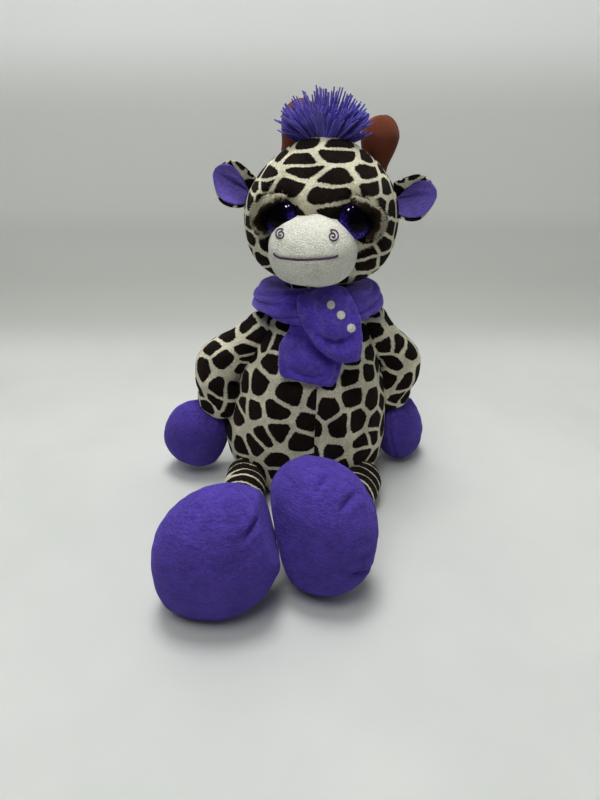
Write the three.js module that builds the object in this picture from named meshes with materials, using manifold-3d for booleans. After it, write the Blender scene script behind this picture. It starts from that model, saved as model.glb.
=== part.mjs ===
// A sitting plush giraffe, about 350 mm tall, made of stuffed and sewn pieces.
// Millimetres, +Z up, the face looks along -Y. The origin is the middle of the flat seat.
// Left and right are the toy's own: its left side is at +X. Angles are degrees.
import * as THREE from "three";
import { mergeVertices } from "three/addons/utils/BufferGeometryUtils.js";
import Module from "manifold-3d";

const wasm = await Module();
wasm.setup();

const { PI, abs, cos, sin, sqrt, max, min } = Math;
const v2 = (x, y) => new THREE.Vector2(x, y);
const v3 = (x, y, z) => new THREE.Vector3(x, y, z);
const rad = THREE.MathUtils.degToRad;
const mix = THREE.MathUtils.lerp;
const X = v3(1, 0, 0);
const Y = v3(0, 1, 0);
const Z = v3(0, 0, 1);

// The gap between two pieces that touch, the wider one round a ball in its socket, and the depth
// of the flats that stand on the floor. Facets that lie flat to the last value are merged.
const GAP = 0.35;
const SOCKET_GAP = 0.8;
const FLAT_DEPTH = 0.5;
const FACET_TOLERANCE = 0.1;

// Torso: each row is [height share, half-width share, half-depth share] from seat to neck.
const TORSO_HEIGHT = 173;
const TORSO_HALF_WIDTH = 74;
const TORSO_HALF_DEPTH = 65;
const TORSO_PROFILE = [
  [0, 0.7, 0.68],
  [0.03, 0.85, 0.84],
  [0.14, 0.97, 0.97],
  [0.34, 1, 1],
  [0.58, 0.92, 0.9],
  [0.78, 0.77, 0.76],
  [0.92, 0.6, 0.62],
  [1, 0.44, 0.5],
];
const TORSO_LEAN_BACK = 7;
const TORSO_LEAN_LEFT = 9;
const TORSO_TURN = 4;

// Neck: a stuffed stub that ends in a ball inside the head.
const NECK_BALL_RADIUS = 26;
const NECK_WAIST_RADIUS = 20;
const NECK_HEIGHT = 24;
const NECK_SHIFT_LEFT = 1;

// Head: a stuffed ball on the neck.
const HEAD_HALF_WIDTH = 64.5;
const HEAD_HALF_DEPTH = 58;
const HEAD_HALF_HEIGHT = 60;
const HEAD_RISE = 52;
const HEAD_SET_FORWARD = 1;
const HEAD_TURN = -5;
const HEAD_TIP = 1.5;
const HEAD_SWING = { turn: 25, down: 2, up: 12 };

// Muzzle: a stuffed cap on the front of the head, narrower above than below.
const MUZZLE_HALF_WIDTH = 34.5;
const MUZZLE_HALF_HEIGHT = 28;
const MUZZLE_STAND_OFF = 33;
const MUZZLE_DROP = 15;
const MUZZLE_SET_BACK = 4;
const MUZZLE_SHIFT_RIGHT = 3;
const MUZZLE_TOP_NARROWING = 0.24;
const MUZZLE_SQUARENESS = 2.5;

// Eyes: a glossy dome on a shank, held behind the fabric by a push-on washer.
const EYE_RADIUS = 14;
const EYE_DOME_HEIGHT = 8;
const EYE_RIM = 1.8;
const EYE_OUT = 28;
const EYE_UP = 8.5;
const SHANK_RADIUS = 2.6;
const SHANK_LENGTH = 17;
const WASHER_RADIUS = 9;
const WASHER_THICKNESS = 2.4;
const WASHER_SET_BACK = 4;
const LID_THICKNESS = 2;
const LID_EDGE_UP = 3;
const LID_TILT = 24;
const LID_SLANT = 34;

// Ears: a cupped two-layer blade on a pinched root. lift is how far each points upwards.
const EAR_LENGTH = 34;
const EAR_HALF_WIDTH = 18;
const EAR_BACK_THICKNESS = 2.8;
const EAR_LINING_THICKNESS = 2.2;
const EAR_ROOT_RADIUS = 5;
const EAR_CUP = 58;
const EAR_UP = 17;
const EAR_ROOT_DEPTH = 3;
const EAR_SWEEP = 4;
const EAR_LIFT = { left: 8, right: 26 };
const EAR_SWING = 20;

// Horns: stuffed clubs behind the crown. lean is how far each leans outwards.
const HORN_LENGTH = 39.5;
const HORN_TIP_RADIUS = 15;
const HORN_FOOT_RADIUS = 11.5;
const HORN_OUT = { left: 41, right: 26 };
const HORN_BACK = 28;
const HORN_LEAN = { left: 5, right: -14 };
const HORN_SWING = 12;

// Fringe: cut strands that fan out from the crown, and at the end of the tail.
const STRAND_RADIUS = 2.1;
const TUFT_STRANDS = 54;
const TUFT_LENGTH = 36.5;
const TUFT_ROOT_RADIUS = 10;
const TUFT_FORWARD = 5;
const TUFT_SPREAD_SIDE = 76;
const TUFT_SPREAD_DEPTH = 24;
const TUFT_LEAN = 10;

// Scarf: a band round the neck and two crossed ends on the chest.
const BAND_HALF_WIDTH = 56;
const BAND_HALF_DEPTH = 57;
const BAND_HEIGHT = 28;
const BAND_THICKNESS = 18;
const BAND_RISE = 9;
const BAND_FRONT_RISE = 3;
// inset is how far each root lies inside the front of the band. taper narrows the tip, and drift
// carries it sideways.
const SCARF_END_THICKNESS = 9;
const UNDER_END = { halfWidth: 27, shift: 1, slant: 12, bottom: 122, inset: 13, taper: 0, drift: 0 };
const UNDER_END_TUCK = 6;
const UNDER_END_SWING = 10;
const OVER_END = { halfWidth: 25, shift: 2, slant: -13, bottom: 141, inset: 12, taper: 0.5, drift: 8 };
// The over end arches this far out over the band, then over the under end.
const OVER_END_ARCH = 13;
const OVER_END_STAND_OUT = 19;

// Arms: a sleeve that bows out from the shoulder, then a mitten hand. The shoulders lie this far
// below the top of the torso.
const SHOULDER_DROP = 22;
const SHOULDER_RADIUS = 16;
const ARM_LENGTH = 98;
const ARM_RADIUS = 21;
const WRIST_RADIUS = 18;
const HAND_HALF_LENGTH = 33;
const HAND_HALF_WIDTH = 31.5;
const HAND_HALF_THICKNESS = 24;
const HAND_OVERLAP = 8;
// Above 1, ARM_BOW_LOW puts the widest bow below the middle of the arm. The arm swings forwards
// and outwards, about a level line turned by ARM_SWING_TURN from the toy's width.
const ARM_BOW_LOW = 1.5;
const ARM_SWING = 80;
const ARM_SWING_TURN = 35;
const ARMS = {
  left: { side: 1, out: 17, bow: 15, back: 6, twist: 70, standOut: 4, drop: -4 },
  right: { side: -1, out: 33, bow: 16, back: -4, twist: 6, standOut: -2, drop: 1 },
};

// Legs: a short tube from the hip ball to the ankle ball, then a large rounded foot.
const HIP_RADIUS = 19;
const HIP_STAND_OUT = 8;
const HIP_SWING = { up: 40, down: 10 };
const ANKLE_RADIUS = 17;
const ANKLE_SWING = 20;
const FOOT_HALF_HEIGHT = 53;
const FOOT_HALF_WIDTH = 46;
const FOOT_HALF_DEPTH = 35;
const FOOT_RAISE = 26;
const LEGS = {
  left: { side: 1, out: 46, length: 75.5, turn: 22.5, footTurn: -10, footRoll: -13, footLean: 11 },
  right: { side: -1, out: 60, length: 99.5, turn: 3, footTurn: 6, footRoll: 28, footLean: 8 },
};
// The plane in which the two feet press on each other: its place at mid height, and its slant.
const FEET_MEET = -26;
const FEET_SLANT = 15;

// Tail: a thin stuffed tube with a fringe end, lying behind the seat.
const TAIL_RADIUS = 6;
const TAIL_ROOT_RADIUS = 7.5;
const TAIL_LENGTH = 58;
const TAIL_ROOT_HEIGHT = 28;
const TAIL_TUFT_LENGTH = 26;
const TAIL_TUFT_STRANDS = 14;

const finish = (color, roughness) =>
  new THREE.MeshStandardMaterial({ color, roughness, metalness: 0 });
const PRINT = () => finish(0x3a2a22, 0.95);
const PURPLE = () => finish(0x5a45b0, 0.95);
const CREAM = () => finish(0xe9e6d2, 0.85);
const RUST = () => finish(0x8a4428, 0.9);
const GLOSS = () => finish(0x171033, 0.12);
const PALE_PLASTIC = () => finish(0xd8d8d4, 0.5);

// Solids

// A closed geometry as a solid that can be cut and joined, moved by a frame.
function solidOf(geometry, frame = new THREE.Matrix4()) {
  const bare = geometry.clone().applyMatrix4(frame);
  bare.deleteAttribute("normal");
  bare.deleteAttribute("uv");
  const merged = mergeVertices(bare, 1e-4);
  return new wasm.Manifold(
    new wasm.Mesh({
      numProp: 3,
      vertProperties: merged.attributes.position.array,
      triVerts: new Uint32Array(merged.index.array),
    }),
  );
}

// A named mesh of a solid.
function meshOf(name, solid, material) {
  const { vertProperties, triVerts } = solid.simplify(FACET_TOLERANCE).getMesh();
  const geometry = new THREE.BufferGeometry();
  geometry.setAttribute("position", new THREE.BufferAttribute(vertProperties, 3));
  geometry.setIndex(new THREE.BufferAttribute(triVerts, 1));
  geometry.computeVertexNormals();
  const mesh = new THREE.Mesh(geometry, material);
  mesh.name = name;
  return mesh;
}

const joined = (solids) => solids.reduce((all, one) => all.add(one));
const cutBy = (solid, cutters) => cutters.reduce((rest, cutter) => rest.subtract(cutter), solid);

// A frame at a place, turned about its own axes in the order given.
function placed(position, turns = []) {
  const frame = new THREE.Matrix4().setPosition(position);
  for (const [axis, degrees] of turns)
    frame.multiply(new THREE.Matrix4().makeRotationAxis(axis, rad(degrees)));
  return frame;
}

// An ellipsoid with its poles on Z.
function ellipsoid(centre, halfX, halfY, halfZ, sides, steps) {
  const ball = new THREE.SphereGeometry(1, sides, steps).rotateX(PI / 2);
  return solidOf(ball.scale(halfX, halfY, halfZ).translate(centre.x, centre.y, centre.z));
}

const ballAt = (centre, radius, sides = 16) =>
  ellipsoid(centre, radius, radius, radius, sides, Math.round(sides * 0.6));

// A closed shape turned on the Z axis from [radius, height] rows.
function turned(rows, sides) {
  const profile = rows.map(([radius, height]) => v2(radius, height));
  return new THREE.LatheGeometry(profile, sides).rotateX(PI / 2);
}

// The [radius, height] rows of an arc round the origin, between two angles above the equator.
function arcRows(halfWidth, halfHeight, from, to, steps) {
  return Array.from({ length: steps + 1 }, (_, i) => {
    const a = mix(from, to, i / steps);
    return [abs(a - PI / 2) < 1e-9 ? 0 : halfWidth * cos(a), halfHeight * sin(a)];
  });
}

// One oval ring of points round a centre: u and v are its half-axes as vectors.
function oval(centre, u, v, sides) {
  return Array.from({ length: sides }, (_, k) => {
    const a = (2 * PI * k) / sides;
    return centre.clone().addScaledVector(u, cos(a)).addScaledVector(v, sin(a));
  });
}

// A skin over a stack of equal rings, closed by a point at each end. The rings turn about the
// direction of the stack by the right-hand rule.
function skinOf(rings, first, last) {
  const sides = rings[0].length;
  const points = [first, ...rings.flat(), last];
  const faces = [];
  const at = (ring, k) => 1 + ring * sides + (k % sides);
  for (let k = 0; k < sides; k++) {
    faces.push(0, at(0, k + 1), at(0, k));
    for (let ring = 0; ring + 1 < rings.length; ring++) {
      faces.push(at(ring, k), at(ring, k + 1), at(ring + 1, k + 1));
      faces.push(at(ring, k), at(ring + 1, k + 1), at(ring + 1, k));
    }
    faces.push(at(rings.length - 1, k), at(rings.length - 1, k + 1), points.length - 1);
  }
  return new THREE.BufferGeometry().setFromPoints(points).setIndex(faces);
}

// A stuffed bulb that runs down -Z from the origin: widthAt gives its half-width at each share of
// its length, before each end closes in a dome.
function bulb({ length, widthAt, flat, fullness, sides, steps }) {
  const rings = [];
  for (let i = 1; i < steps; i++) {
    const t = (1 - cos((PI * i) / steps)) / 2;
    const w = widthAt(t) * (1 - abs(2 * t - 1) ** fullness) ** (1 / fullness);
    rings.push(oval(v3(0, 0, -length * t), v3(0, w * flat, 0), v3(w, 0, 0), sides));
  }
  return skinOf(rings, v3(0, 0, 0), v3(0, 0, -length));
}

// A stuffed limb that runs down -Z between the middles of two balls, which round its ends: it
// swells and bows sideways between them, the bow lowest where bowLow is greatest.
function limb({ length, top, bottom, swell = 0, bow = 0, bowLow = 1, sides }) {
  const capSteps = 4;
  const tubeSteps = 6;
  const rings = [];
  const add = (radius, x, z) =>
    rings.push(oval(v3(x, 0, z), v3(0, radius, 0), v3(radius, 0, 0), sides));
  for (let i = 1; i < capSteps; i++) {
    const a = (PI / 2) * (1 - i / capSteps);
    add(top * cos(a), 0, top * sin(a));
  }
  for (let i = 0; i <= tubeSteps; i++) {
    const t = i / tubeSteps;
    add(mix(top, bottom, t) + swell * sin(PI * t), bow * sin(PI * t ** bowLow), -length * t);
  }
  for (let i = 1; i < capSteps; i++) {
    const a = (PI / 2) * (i / capSteps);
    add(bottom * cos(a), 0, -length - bottom * sin(a));
  }
  return skinOf(rings, v3(0, 0, top), v3(0, 0, -length - bottom));
}

// A pad over a grid: pointAt(a, s, face) gives its surface, with a across from -1 to 1, s along
// from 0 to 1 and face 1 or -1 for its two sides.
function padOf(pointAt, across, along) {
  const rings = [];
  for (let i = 0; i <= along; i++) {
    const front = [];
    const back = [];
    for (let k = 0; k <= across; k++) {
      front.push(pointAt((2 * k) / across - 1, i / along, 1));
      if (k > 0 && k < across) back.unshift(pointAt((2 * k) / across - 1, i / along, -1));
    }
    rings.push([...front, ...back]);
  }
  const middle = (points) =>
    points.reduce((sum, p) => sum.add(p), v3(0, 0, 0)).divideScalar(points.length);
  return skinOf(rings, middle(rings[0]), middle(rings.at(-1)));
}

// The same skin with its faces turned round, for a shape that was built mirrored.
function faceFlipped(geometry) {
  const flipped = geometry.clone();
  const index = flipped.index.array;
  for (let i = 0; i < index.length; i += 3)
    [index[i + 1], index[i + 2]] = [index[i + 2], index[i + 1]];
  return flipped;
}

// What a still piece takes out of one that swings: its own shape, turned back through the swing.
function sweptBy(still, pivot, axis, from, to) {
  const home = still.translate(pivot.clone().negate().toArray());
  const steps = Math.ceil((to - from) / 12);
  const shares = Array.from({ length: steps + 1 }, (_, i) => mix(from, to, i / steps));
  const turns = shares.map((a) => home.transform(placed(pivot, [[axis, -a]]).elements));
  return joined(turns).simplify(GAP / 3);
}

// How far a ball that swings by an angle has to stand out of the surface it is sewn to.
const standOff = (radius, swing) => radius * sin(rad(swing));

// Everything below the floor.
const ground = solidOf(
  new THREE.BoxGeometry(6 * TORSO_HEIGHT, 6 * TORSO_HEIGHT, TORSO_HEIGHT).translate(
    0,
    0,
    -TORSO_HEIGHT / 2,
  ),
);

// Torso

const torsoCurve = new THREE.CatmullRomCurve3(
  TORSO_PROFILE.map(([h, w, d]) =>
    v3(w * TORSO_HALF_WIDTH, d * TORSO_HALF_DEPTH, h * TORSO_HEIGHT),
  ),
);

// The middle line of the torso leans as it rises.
function torsoCentreAt(z) {
  const share = min(max(z / TORSO_HEIGHT, 0), 1) ** 2;
  return v3(TORSO_LEAN_LEFT * share, TORSO_LEAN_BACK * share, z);
}

// The half-width and half-depth of the torso at a height.
function torsoAt(z) {
  let low = 0;
  let high = 1;
  while (high - low > 1e-4) {
    const middle = (low + high) / 2;
    if (torsoCurve.getPoint(middle).z < z) low = middle;
    else high = middle;
  }
  const { x, y } = torsoCurve.getPoint(low);
  return { halfWidth: x, halfDepth: y };
}

// The whole stuffed form, before its seat is cut flat.
function torsoSolid(grow = 0) {
  const steps = 13;
  const rings = [];
  for (let i = 0; i <= steps; i++) {
    const p = torsoCurve.getPoint(i / steps);
    const z = mix(p.z - grow, p.z + grow, i / steps);
    rings.push(
      oval(torsoCentreAt(p.z).setZ(z), v3(p.x + grow, 0, 0), v3(0, p.y + grow, 0), 30),
    );
  }
  const seat = v3(0, 0, -FLAT_DEPTH - grow);
  const top = torsoCentreAt(TORSO_HEIGHT).setZ(TORSO_HEIGHT + grow);
  return solidOf(skinOf(rings, seat, top), placed(v3(0, 0, 0), [[Z, TORSO_TURN]]));
}
const torsoClear = torsoSolid(GAP);

// A place on the torso, given across, back and up in its own frame.
const onTorso = (x, y, z) =>
  v3(x, y, z).add(torsoCentreAt(z).setZ(0)).applyAxisAngle(Z, rad(TORSO_TURN));

// Neck: turned round the upright line on which the head turns.
const neckPivot = onTorso(NECK_SHIFT_LEFT, 0, TORSO_HEIGHT).setZ(TORSO_HEIGHT + NECK_HEIGHT);

function neckSolid() {
  const bottom = GAP - NECK_HEIGHT;
  const waist = -Math.acos(NECK_WAIST_RADIUS / NECK_BALL_RADIUS);
  const rows = [
    [0, bottom],
    [NECK_WAIST_RADIUS, bottom],
    ...arcRows(NECK_BALL_RADIUS, NECK_BALL_RADIUS, waist, PI / 2, 7),
  ];
  return solidOf(turned(rows, 20), placed(neckPivot));
}

// Head: all its pieces are made in a frame whose origin is the neck pivot.

const headCentre = v3(0, -HEAD_SET_FORWARD, HEAD_RISE);
const headSolid = (grow = 0) =>
  ellipsoid(
    headCentre,
    HEAD_HALF_WIDTH + grow,
    HEAD_HALF_DEPTH + grow,
    HEAD_HALF_HEIGHT + grow,
    26,
    15,
  );
const headClear = headSolid(GAP);

// The front (sign -1) or back (sign 1) of the head at a place across and up from its middle.
function onHead(x, z, sign) {
  const rest = 1 - (x / HEAD_HALF_WIDTH) ** 2 - (z / HEAD_HALF_HEIGHT) ** 2;
  return v3(x, sign * HEAD_HALF_DEPTH * sqrt(max(rest, 0)), z).add(headCentre);
}

// The top of the head at a place across and back from its middle.
function onCrown(x, y) {
  const rest = 1 - (x / HEAD_HALF_WIDTH) ** 2 - (y / HEAD_HALF_DEPTH) ** 2;
  return v3(x, y, HEAD_HALF_HEIGHT * sqrt(rest)).add(headCentre);
}

// The outward direction of the head's surface at a point on it.
function headNormal(point) {
  const { x, y, z } = point.clone().sub(headCentre);
  return v3(x / HEAD_HALF_WIDTH ** 2, y / HEAD_HALF_DEPTH ** 2, z / HEAD_HALF_HEIGHT ** 2)
    .normalize();
}

// Muzzle

function muzzleSolid(grow = 0) {
  const ball = new THREE.SphereGeometry(1, 22, 14).rotateX(PI / 2);
  const place = ball.attributes.position;
  for (let i = 0; i < place.count; i++) {
    const [x, z] = [place.getX(i), place.getZ(i)];
    const reach = Math.hypot(x, z);
    if (reach < 1e-6) continue;
    const n = MUZZLE_SQUARENESS;
    const square = reach / (abs(x) ** n + abs(z) ** n) ** (1 / n);
    const up = max(z, 0);
    place.setX(i, x * square * (1 - MUZZLE_TOP_NARROWING * up * up));
    place.setZ(i, z * square);
  }
  const centre = onHead(-MUZZLE_SHIFT_RIGHT, -MUZZLE_DROP, -1);
  ball.scale(MUZZLE_HALF_WIDTH + grow, MUZZLE_STAND_OFF + grow, MUZZLE_HALF_HEIGHT + grow);
  return solidOf(ball.translate(centre.x, centre.y + MUZZLE_SET_BACK, centre.z));
}

// Eyes: each frame has its origin on the head's surface and +Z looking out.

function eyeFrame(side) {
  const seat = onHead(side * EYE_OUT, EYE_UP, -1);
  const turn = new THREE.Quaternion().setFromUnitVectors(Z, headNormal(seat));
  return new THREE.Matrix4().makeRotationFromQuaternion(turn).setPosition(seat);
}

// The dome and its shank.
function eyeGeometry(grow = 0) {
  return turned(
    [
      [0, -SHANK_LENGTH - grow],
      [SHANK_RADIUS + grow, -SHANK_LENGTH - grow],
      [SHANK_RADIUS + grow, -EYE_RIM - grow],
      [EYE_RADIUS + grow, -EYE_RIM - grow],
      ...arcRows(EYE_RADIUS + grow, EYE_DOME_HEIGHT + grow, 0, PI / 2, 4),
    ],
    16,
  );
}

const washerBottom = -EYE_RIM - WASHER_SET_BACK - WASHER_THICKNESS;

// The washer, a ring with a raised middle, pushed onto the shank.
function washerGeometry() {
  const top = washerBottom + WASHER_THICKNESS;
  const bore = SHANK_RADIUS + GAP;
  return turned(
    [
      [bore, washerBottom],
      [WASHER_RADIUS, washerBottom],
      [WASHER_RADIUS, washerBottom + WASHER_THICKNESS / 2],
      [SHANK_RADIUS * 2, top],
      [bore, top],
      [bore, washerBottom],
    ],
    14,
  );
}

// The pocket in the stuffing that holds the washer.
function washerPocket() {
  const radius = WASHER_RADIUS + GAP;
  const pocket = new THREE.CylinderGeometry(radius, radius, WASHER_THICKNESS + 2 * GAP, 14);
  return pocket.rotateX(PI / 2).translate(0, 0, washerBottom + WASHER_THICKNESS / 2);
}

// A fold of print fabric over the top of the eye: part of a thin dome, cut along a slanting line.
function lidSolid(side) {
  const fold = GAP + LID_THICKNESS;
  const width = EYE_RADIUS + fold;
  const dome = ellipsoid(v3(0, 0, 0), width, width, EYE_DOME_HEIGHT + fold, 16, 10);
  const reach = 4 * EYE_RADIUS;
  const block = new THREE.BoxGeometry(reach, reach, reach).translate(0, reach / 2 + LID_EDGE_UP, 0);
  const cover = placed(v3(0, 0, 0), [
    [Z, side * -LID_SLANT],
    [X, -LID_TILT],
  ]);
  const shell = dome.intersect(solidOf(block, cover)).subtract(solidOf(eyeGeometry(GAP)));
  return shell.transform(eyeFrame(side).elements).subtract(headClear);
}

// Ears

function earRoot(side) {
  const out = HEAD_HALF_WIDTH * sqrt(1 - (EAR_UP / HEAD_HALF_HEIGHT) ** 2);
  return v3(side * (out - EAR_ROOT_DEPTH), 0, EAR_UP).add(headCentre);
}

// One layer of the cupped blade, between two distances from its middle surface. The blade runs
// from the root towards the side, hollow to the front.
function earLayer(side, lift, inner, outer) {
  const radius = EAR_HALF_WIDTH / sin(rad(EAR_CUP));
  const blade = (a, s, face) => {
    const outline = sin(PI * mix(0.1, 0.985, s) ** 0.8) ** 0.62;
    const angle = a * rad(EAR_CUP) * outline;
    const r = radius + (face > 0 ? outer : inner);
    return v3(side * EAR_LENGTH * s, r * cos(angle) - radius, r * sin(angle));
  };
  const frame = placed(earRoot(side), [
    [Y, side * -lift],
    [Z, side * EAR_SWEEP],
  ]);
  const pad = padOf(blade, 8, 8);
  return solidOf(side > 0 ? pad : faceFlipped(pad), frame);
}

// Fringe: tapered strands that fan out from one root, fused there.

function strand(root, direction, length) {
  const shape = new THREE.CylinderGeometry(STRAND_RADIUS * 0.6, STRAND_RADIUS, length, 3);
  shape.rotateX(PI / 2).translate(0, 0, length / 2);
  shape.applyQuaternion(new THREE.Quaternion().setFromUnitVectors(Z, direction));
  return solidOf(shape.translate(root.x, root.y, root.z));
}

// Points spread evenly over a unit disc.
function sunflower(count) {
  const golden = PI * (3 - sqrt(5));
  return Array.from({ length: count }, (_, i) => {
    const reach = sqrt((i + 0.5) / count);
    return v2(reach * cos(i * golden), reach * sin(i * golden));
  });
}

function tuftSolid() {
  const root = onCrown(0, -TUFT_FORWARD);
  const knot = ellipsoid(root, TUFT_ROOT_RADIUS, TUFT_ROOT_RADIUS * 0.7, TUFT_ROOT_RADIUS / 2, 14, 8);
  const strands = sunflower(TUFT_STRANDS).map(({ x, y }) => {
    const across = rad(TUFT_SPREAD_SIDE) * x;
    const depth = rad(TUFT_SPREAD_DEPTH * y - TUFT_LEAN);
    const direction = v3(sin(across), sin(depth) * cos(across), cos(depth) * cos(across));
    return strand(root, direction.normalize(), TUFT_LENGTH * (1 - 0.12 * y * y));
  });
  return joined([knot, ...strands]).subtract(headClear);
}

// Horns

function hornPivot(name, side) {
  const seat = onCrown(side * HORN_OUT[name], HORN_BACK);
  return seat.addScaledVector(headNormal(seat), standOff(HORN_FOOT_RADIUS, HORN_SWING));
}

function hornSolid(name, side) {
  const length = HORN_LENGTH - HORN_TIP_RADIUS;
  const club = limb({
    length,
    top: HORN_TIP_RADIUS,
    bottom: HORN_FOOT_RADIUS,
    sides: 16,
  }).translate(0, 0, length);
  const pivot = hornPivot(name, side);
  const whole = solidOf(club, placed(pivot, [[Y, side * HORN_LEAN[name]]]));
  const room = sweptBy(headClear, pivot, X, -HORN_SWING, HORN_SWING);
  return whole.subtract(room).add(ballAt(pivot, HORN_FOOT_RADIUS - GAP));
}

// Scarf

const bandCentre = onTorso(0, 0, TORSO_HEIGHT).setZ(TORSO_HEIGHT + BAND_RISE);

// The band: a soft oval section carried round the neck, higher at the throat.
function scarfBand(grow = 0) {
  const around = 32;
  const sides = 10;
  const points = [];
  const faces = [];
  const thick = BAND_THICKNESS / 2 + grow;
  for (let i = 0; i < around; i++) {
    const a = (2 * PI * i) / around;
    const out = v3(sin(a), -cos(a), 0);
    const centre = bandCentre.clone().add(
      v3(
        (BAND_HALF_WIDTH - BAND_THICKNESS / 2) * out.x,
        (BAND_HALF_DEPTH - BAND_THICKNESS / 2) * out.y,
        BAND_FRONT_RISE * cos(a),
      ),
    );
    const height = v3(0, 0, BAND_HEIGHT / 2 + grow).addScaledVector(out, -2);
    for (const p of oval(v3(0, 0, 0), X, Y, sides)) {
      const square = 1 / max(abs(p.x), abs(p.y)) ** 0.35;
      points.push(
        centre.clone().addScaledVector(out, p.x * square * thick).addScaledVector(height, p.y * square),
      );
    }
    for (let k = 0; k < sides; k++) {
      const next = ((i + 1) % around) * sides;
      const [p, q] = [i * sides + k, i * sides + ((k + 1) % sides)];
      const [r, s] = [next + k, next + ((k + 1) % sides)];
      faces.push(p, r, s, p, s, q);
    }
  }
  return solidOf(new THREE.BufferGeometry().setFromPoints(points).setIndex(faces));
}

// One end: a soft pad that follows a line of [forward, up] points down the chest, measured from
// its root, and hangs at a slant.
function scarfEnd({ halfWidth, slant, taper, drift }, root, line, grow = 0) {
  const path = new THREE.CatmullRomCurve3(line.map(([forward, up]) => v3(0, -forward, up)));
  const point = (a, s, face) => {
    const centre = path.getPoint(s);
    const along = path.getTangent(s);
    const outward = v3(0, along.z, -along.y).normalize();
    const dome = (1 - abs(2 * mix(0.02, 0.98, s) - 1) ** 6) ** (1 / 6);
    const edge = max((1 - abs(a) ** 3) ** (1 / 3), 0.05) * dome;
    const shoulder = mix(0.82, 1, min(2 * s, 1));
    const half = (halfWidth + grow) * shoulder * mix(dome, 1, 0.35) * (1 - taper * s ** 3);
    return centre
      .addScaledVector(outward, face * ((SCARF_END_THICKNESS / 2) * edge + grow))
      .add(v3(a * half + drift * s * s, 0, 0));
  };
  return solidOf(faceFlipped(padOf(point, 8, 10)), placed(root, [[Y, slant]]));
}

// Arms: built hanging along -Z from the shoulder ball, then turned out.

function armPieces({ side, out, bow, back, twist, standOut, drop }) {
  const height = TORSO_HEIGHT - SHOULDER_DROP - drop;
  const shoulder = onTorso(side * (torsoAt(height).halfWidth + standOut), 0, height);
  const frame = placed(shoulder, [
    [Y, side * -out],
    [X, back],
  ]);
  const sleeve = limb({
    length: ARM_LENGTH - WRIST_RADIUS,
    top: SHOULDER_RADIUS,
    bottom: WRIST_RADIUS,
    swell: ARM_RADIUS - (SHOULDER_RADIUS + WRIST_RADIUS) / 2,
    bow: side * bow,
    bowLow: ARM_BOW_LOW,
    sides: 16,
  });
  const wrist = v3(0, 0, HAND_OVERLAP - ARM_LENGTH);
  const handFrame = frame.clone().multiply(placed(wrist, [[Z, side * twist]]));
  const mitten = (grow) =>
    bulb({
      length: 2 * (HAND_HALF_LENGTH + grow),
      widthAt: () => HAND_HALF_WIDTH + grow,
      flat: (HAND_HALF_THICKNESS + grow) / (HAND_HALF_WIDTH + grow),
      fullness: 2.1,
      sides: 18,
      steps: 11,
    }).translate(0, 0, grow);
  const swing = X.clone().applyAxisAngle(Z, rad(side * ARM_SWING_TURN)).negate();
  const room = sweptBy(torsoClear.add(scarfBand(GAP)), shoulder, swing, 0, ARM_SWING);
  const arm = cutBy(solidOf(sleeve, frame), [room, solidOf(mitten(GAP), handFrame)]);
  return {
    shoulder,
    swing,
    sleeve: arm.add(ballAt(shoulder, SHOULDER_RADIUS - GAP)),
    hand: cutBy(solidOf(mitten(0), handFrame), [room, ground.translate([0, 0, GAP])]),
  };
}

// Legs: built along -Y from the hip ball. They swing about the normal of the plane in which the
// feet meet, so that the feet slide along it.
const feetNormal = X.clone().applyAxisAngle(Y, rad(-FEET_SLANT));

function hipFrame({ side, out, turn }) {
  const height = HIP_RADIUS + GAP;
  const { halfWidth, halfDepth } = torsoAt(height);
  const front = halfDepth * sqrt(1 - (out / halfWidth) ** 2);
  const forward = front + HIP_STAND_OUT;
  return placed(onTorso(side * out, -forward, height), [[Z, -turn]]);
}

function legPieces(leg) {
  const frame = hipFrame(leg);
  const ankle = v3(0, -leg.length, 0);
  const tube = limb({ length: leg.length, top: HIP_RADIUS, bottom: ANKLE_RADIUS, sides: 16 });
  const ankleIn = FOOT_HALF_DEPTH * sqrt(1 - (FOOT_RAISE / FOOT_HALF_HEIGHT) ** 2);
  const footForward = ankleIn + standOff(ANKLE_RADIUS, ANKLE_SWING);
  const footCentre = ankle.clone().add(v3(0, -footForward, FOOT_RAISE));
  const footFrame = frame.clone().multiply(
    placed(footCentre, [
      [Z, leg.footTurn],
      [Y, leg.footRoll],
      [X, -leg.footLean],
    ]),
  );
  const shape = bulb({
    length: 2 * FOOT_HALF_HEIGHT,
    widthAt: (t) => FOOT_HALF_WIDTH * mix(0.97, 1.03, t),
    flat: FOOT_HALF_DEPTH / FOOT_HALF_WIDTH,
    fullness: 2.2,
    sides: 22,
    steps: 12,
  }).translate(0, 0, FOOT_HALF_HEIGHT);
  const blank = solidOf(shape, footFrame);
  const foot = blank.translate([0, 0, -blank.boundingBox().min[2] - FLAT_DEPTH]);
  const place = ankle.clone().applyMatrix4(frame);
  const reach = 6 * FOOT_HALF_WIDTH;
  const otherSide = new THREE.BoxGeometry(reach, 4 * reach, reach);
  otherSide.translate(-leg.side * (reach / 2 - GAP), 0, 0);
  const meeting = placed(v3(FEET_MEET, 0, FOOT_HALF_HEIGHT), [[Y, -FEET_SLANT]]);
  const hip = v3(0, 0, 0).applyMatrix4(frame);
  const room = sweptBy(torsoClear, hip, feetNormal.clone().negate(), -HIP_SWING.up, HIP_SWING.down);
  return {
    hip,
    ankle: place,
    leg: solidOf(tube.rotateX(-PI / 2), frame).subtract(room).add(ballAt(hip, HIP_RADIUS - GAP)),
    foot: cutBy(foot, [
      ground,
      ballAt(place, ANKLE_RADIUS + SOCKET_GAP),
      solidOf(otherSide, meeting),
    ]),
  };
}

// Tail

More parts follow.
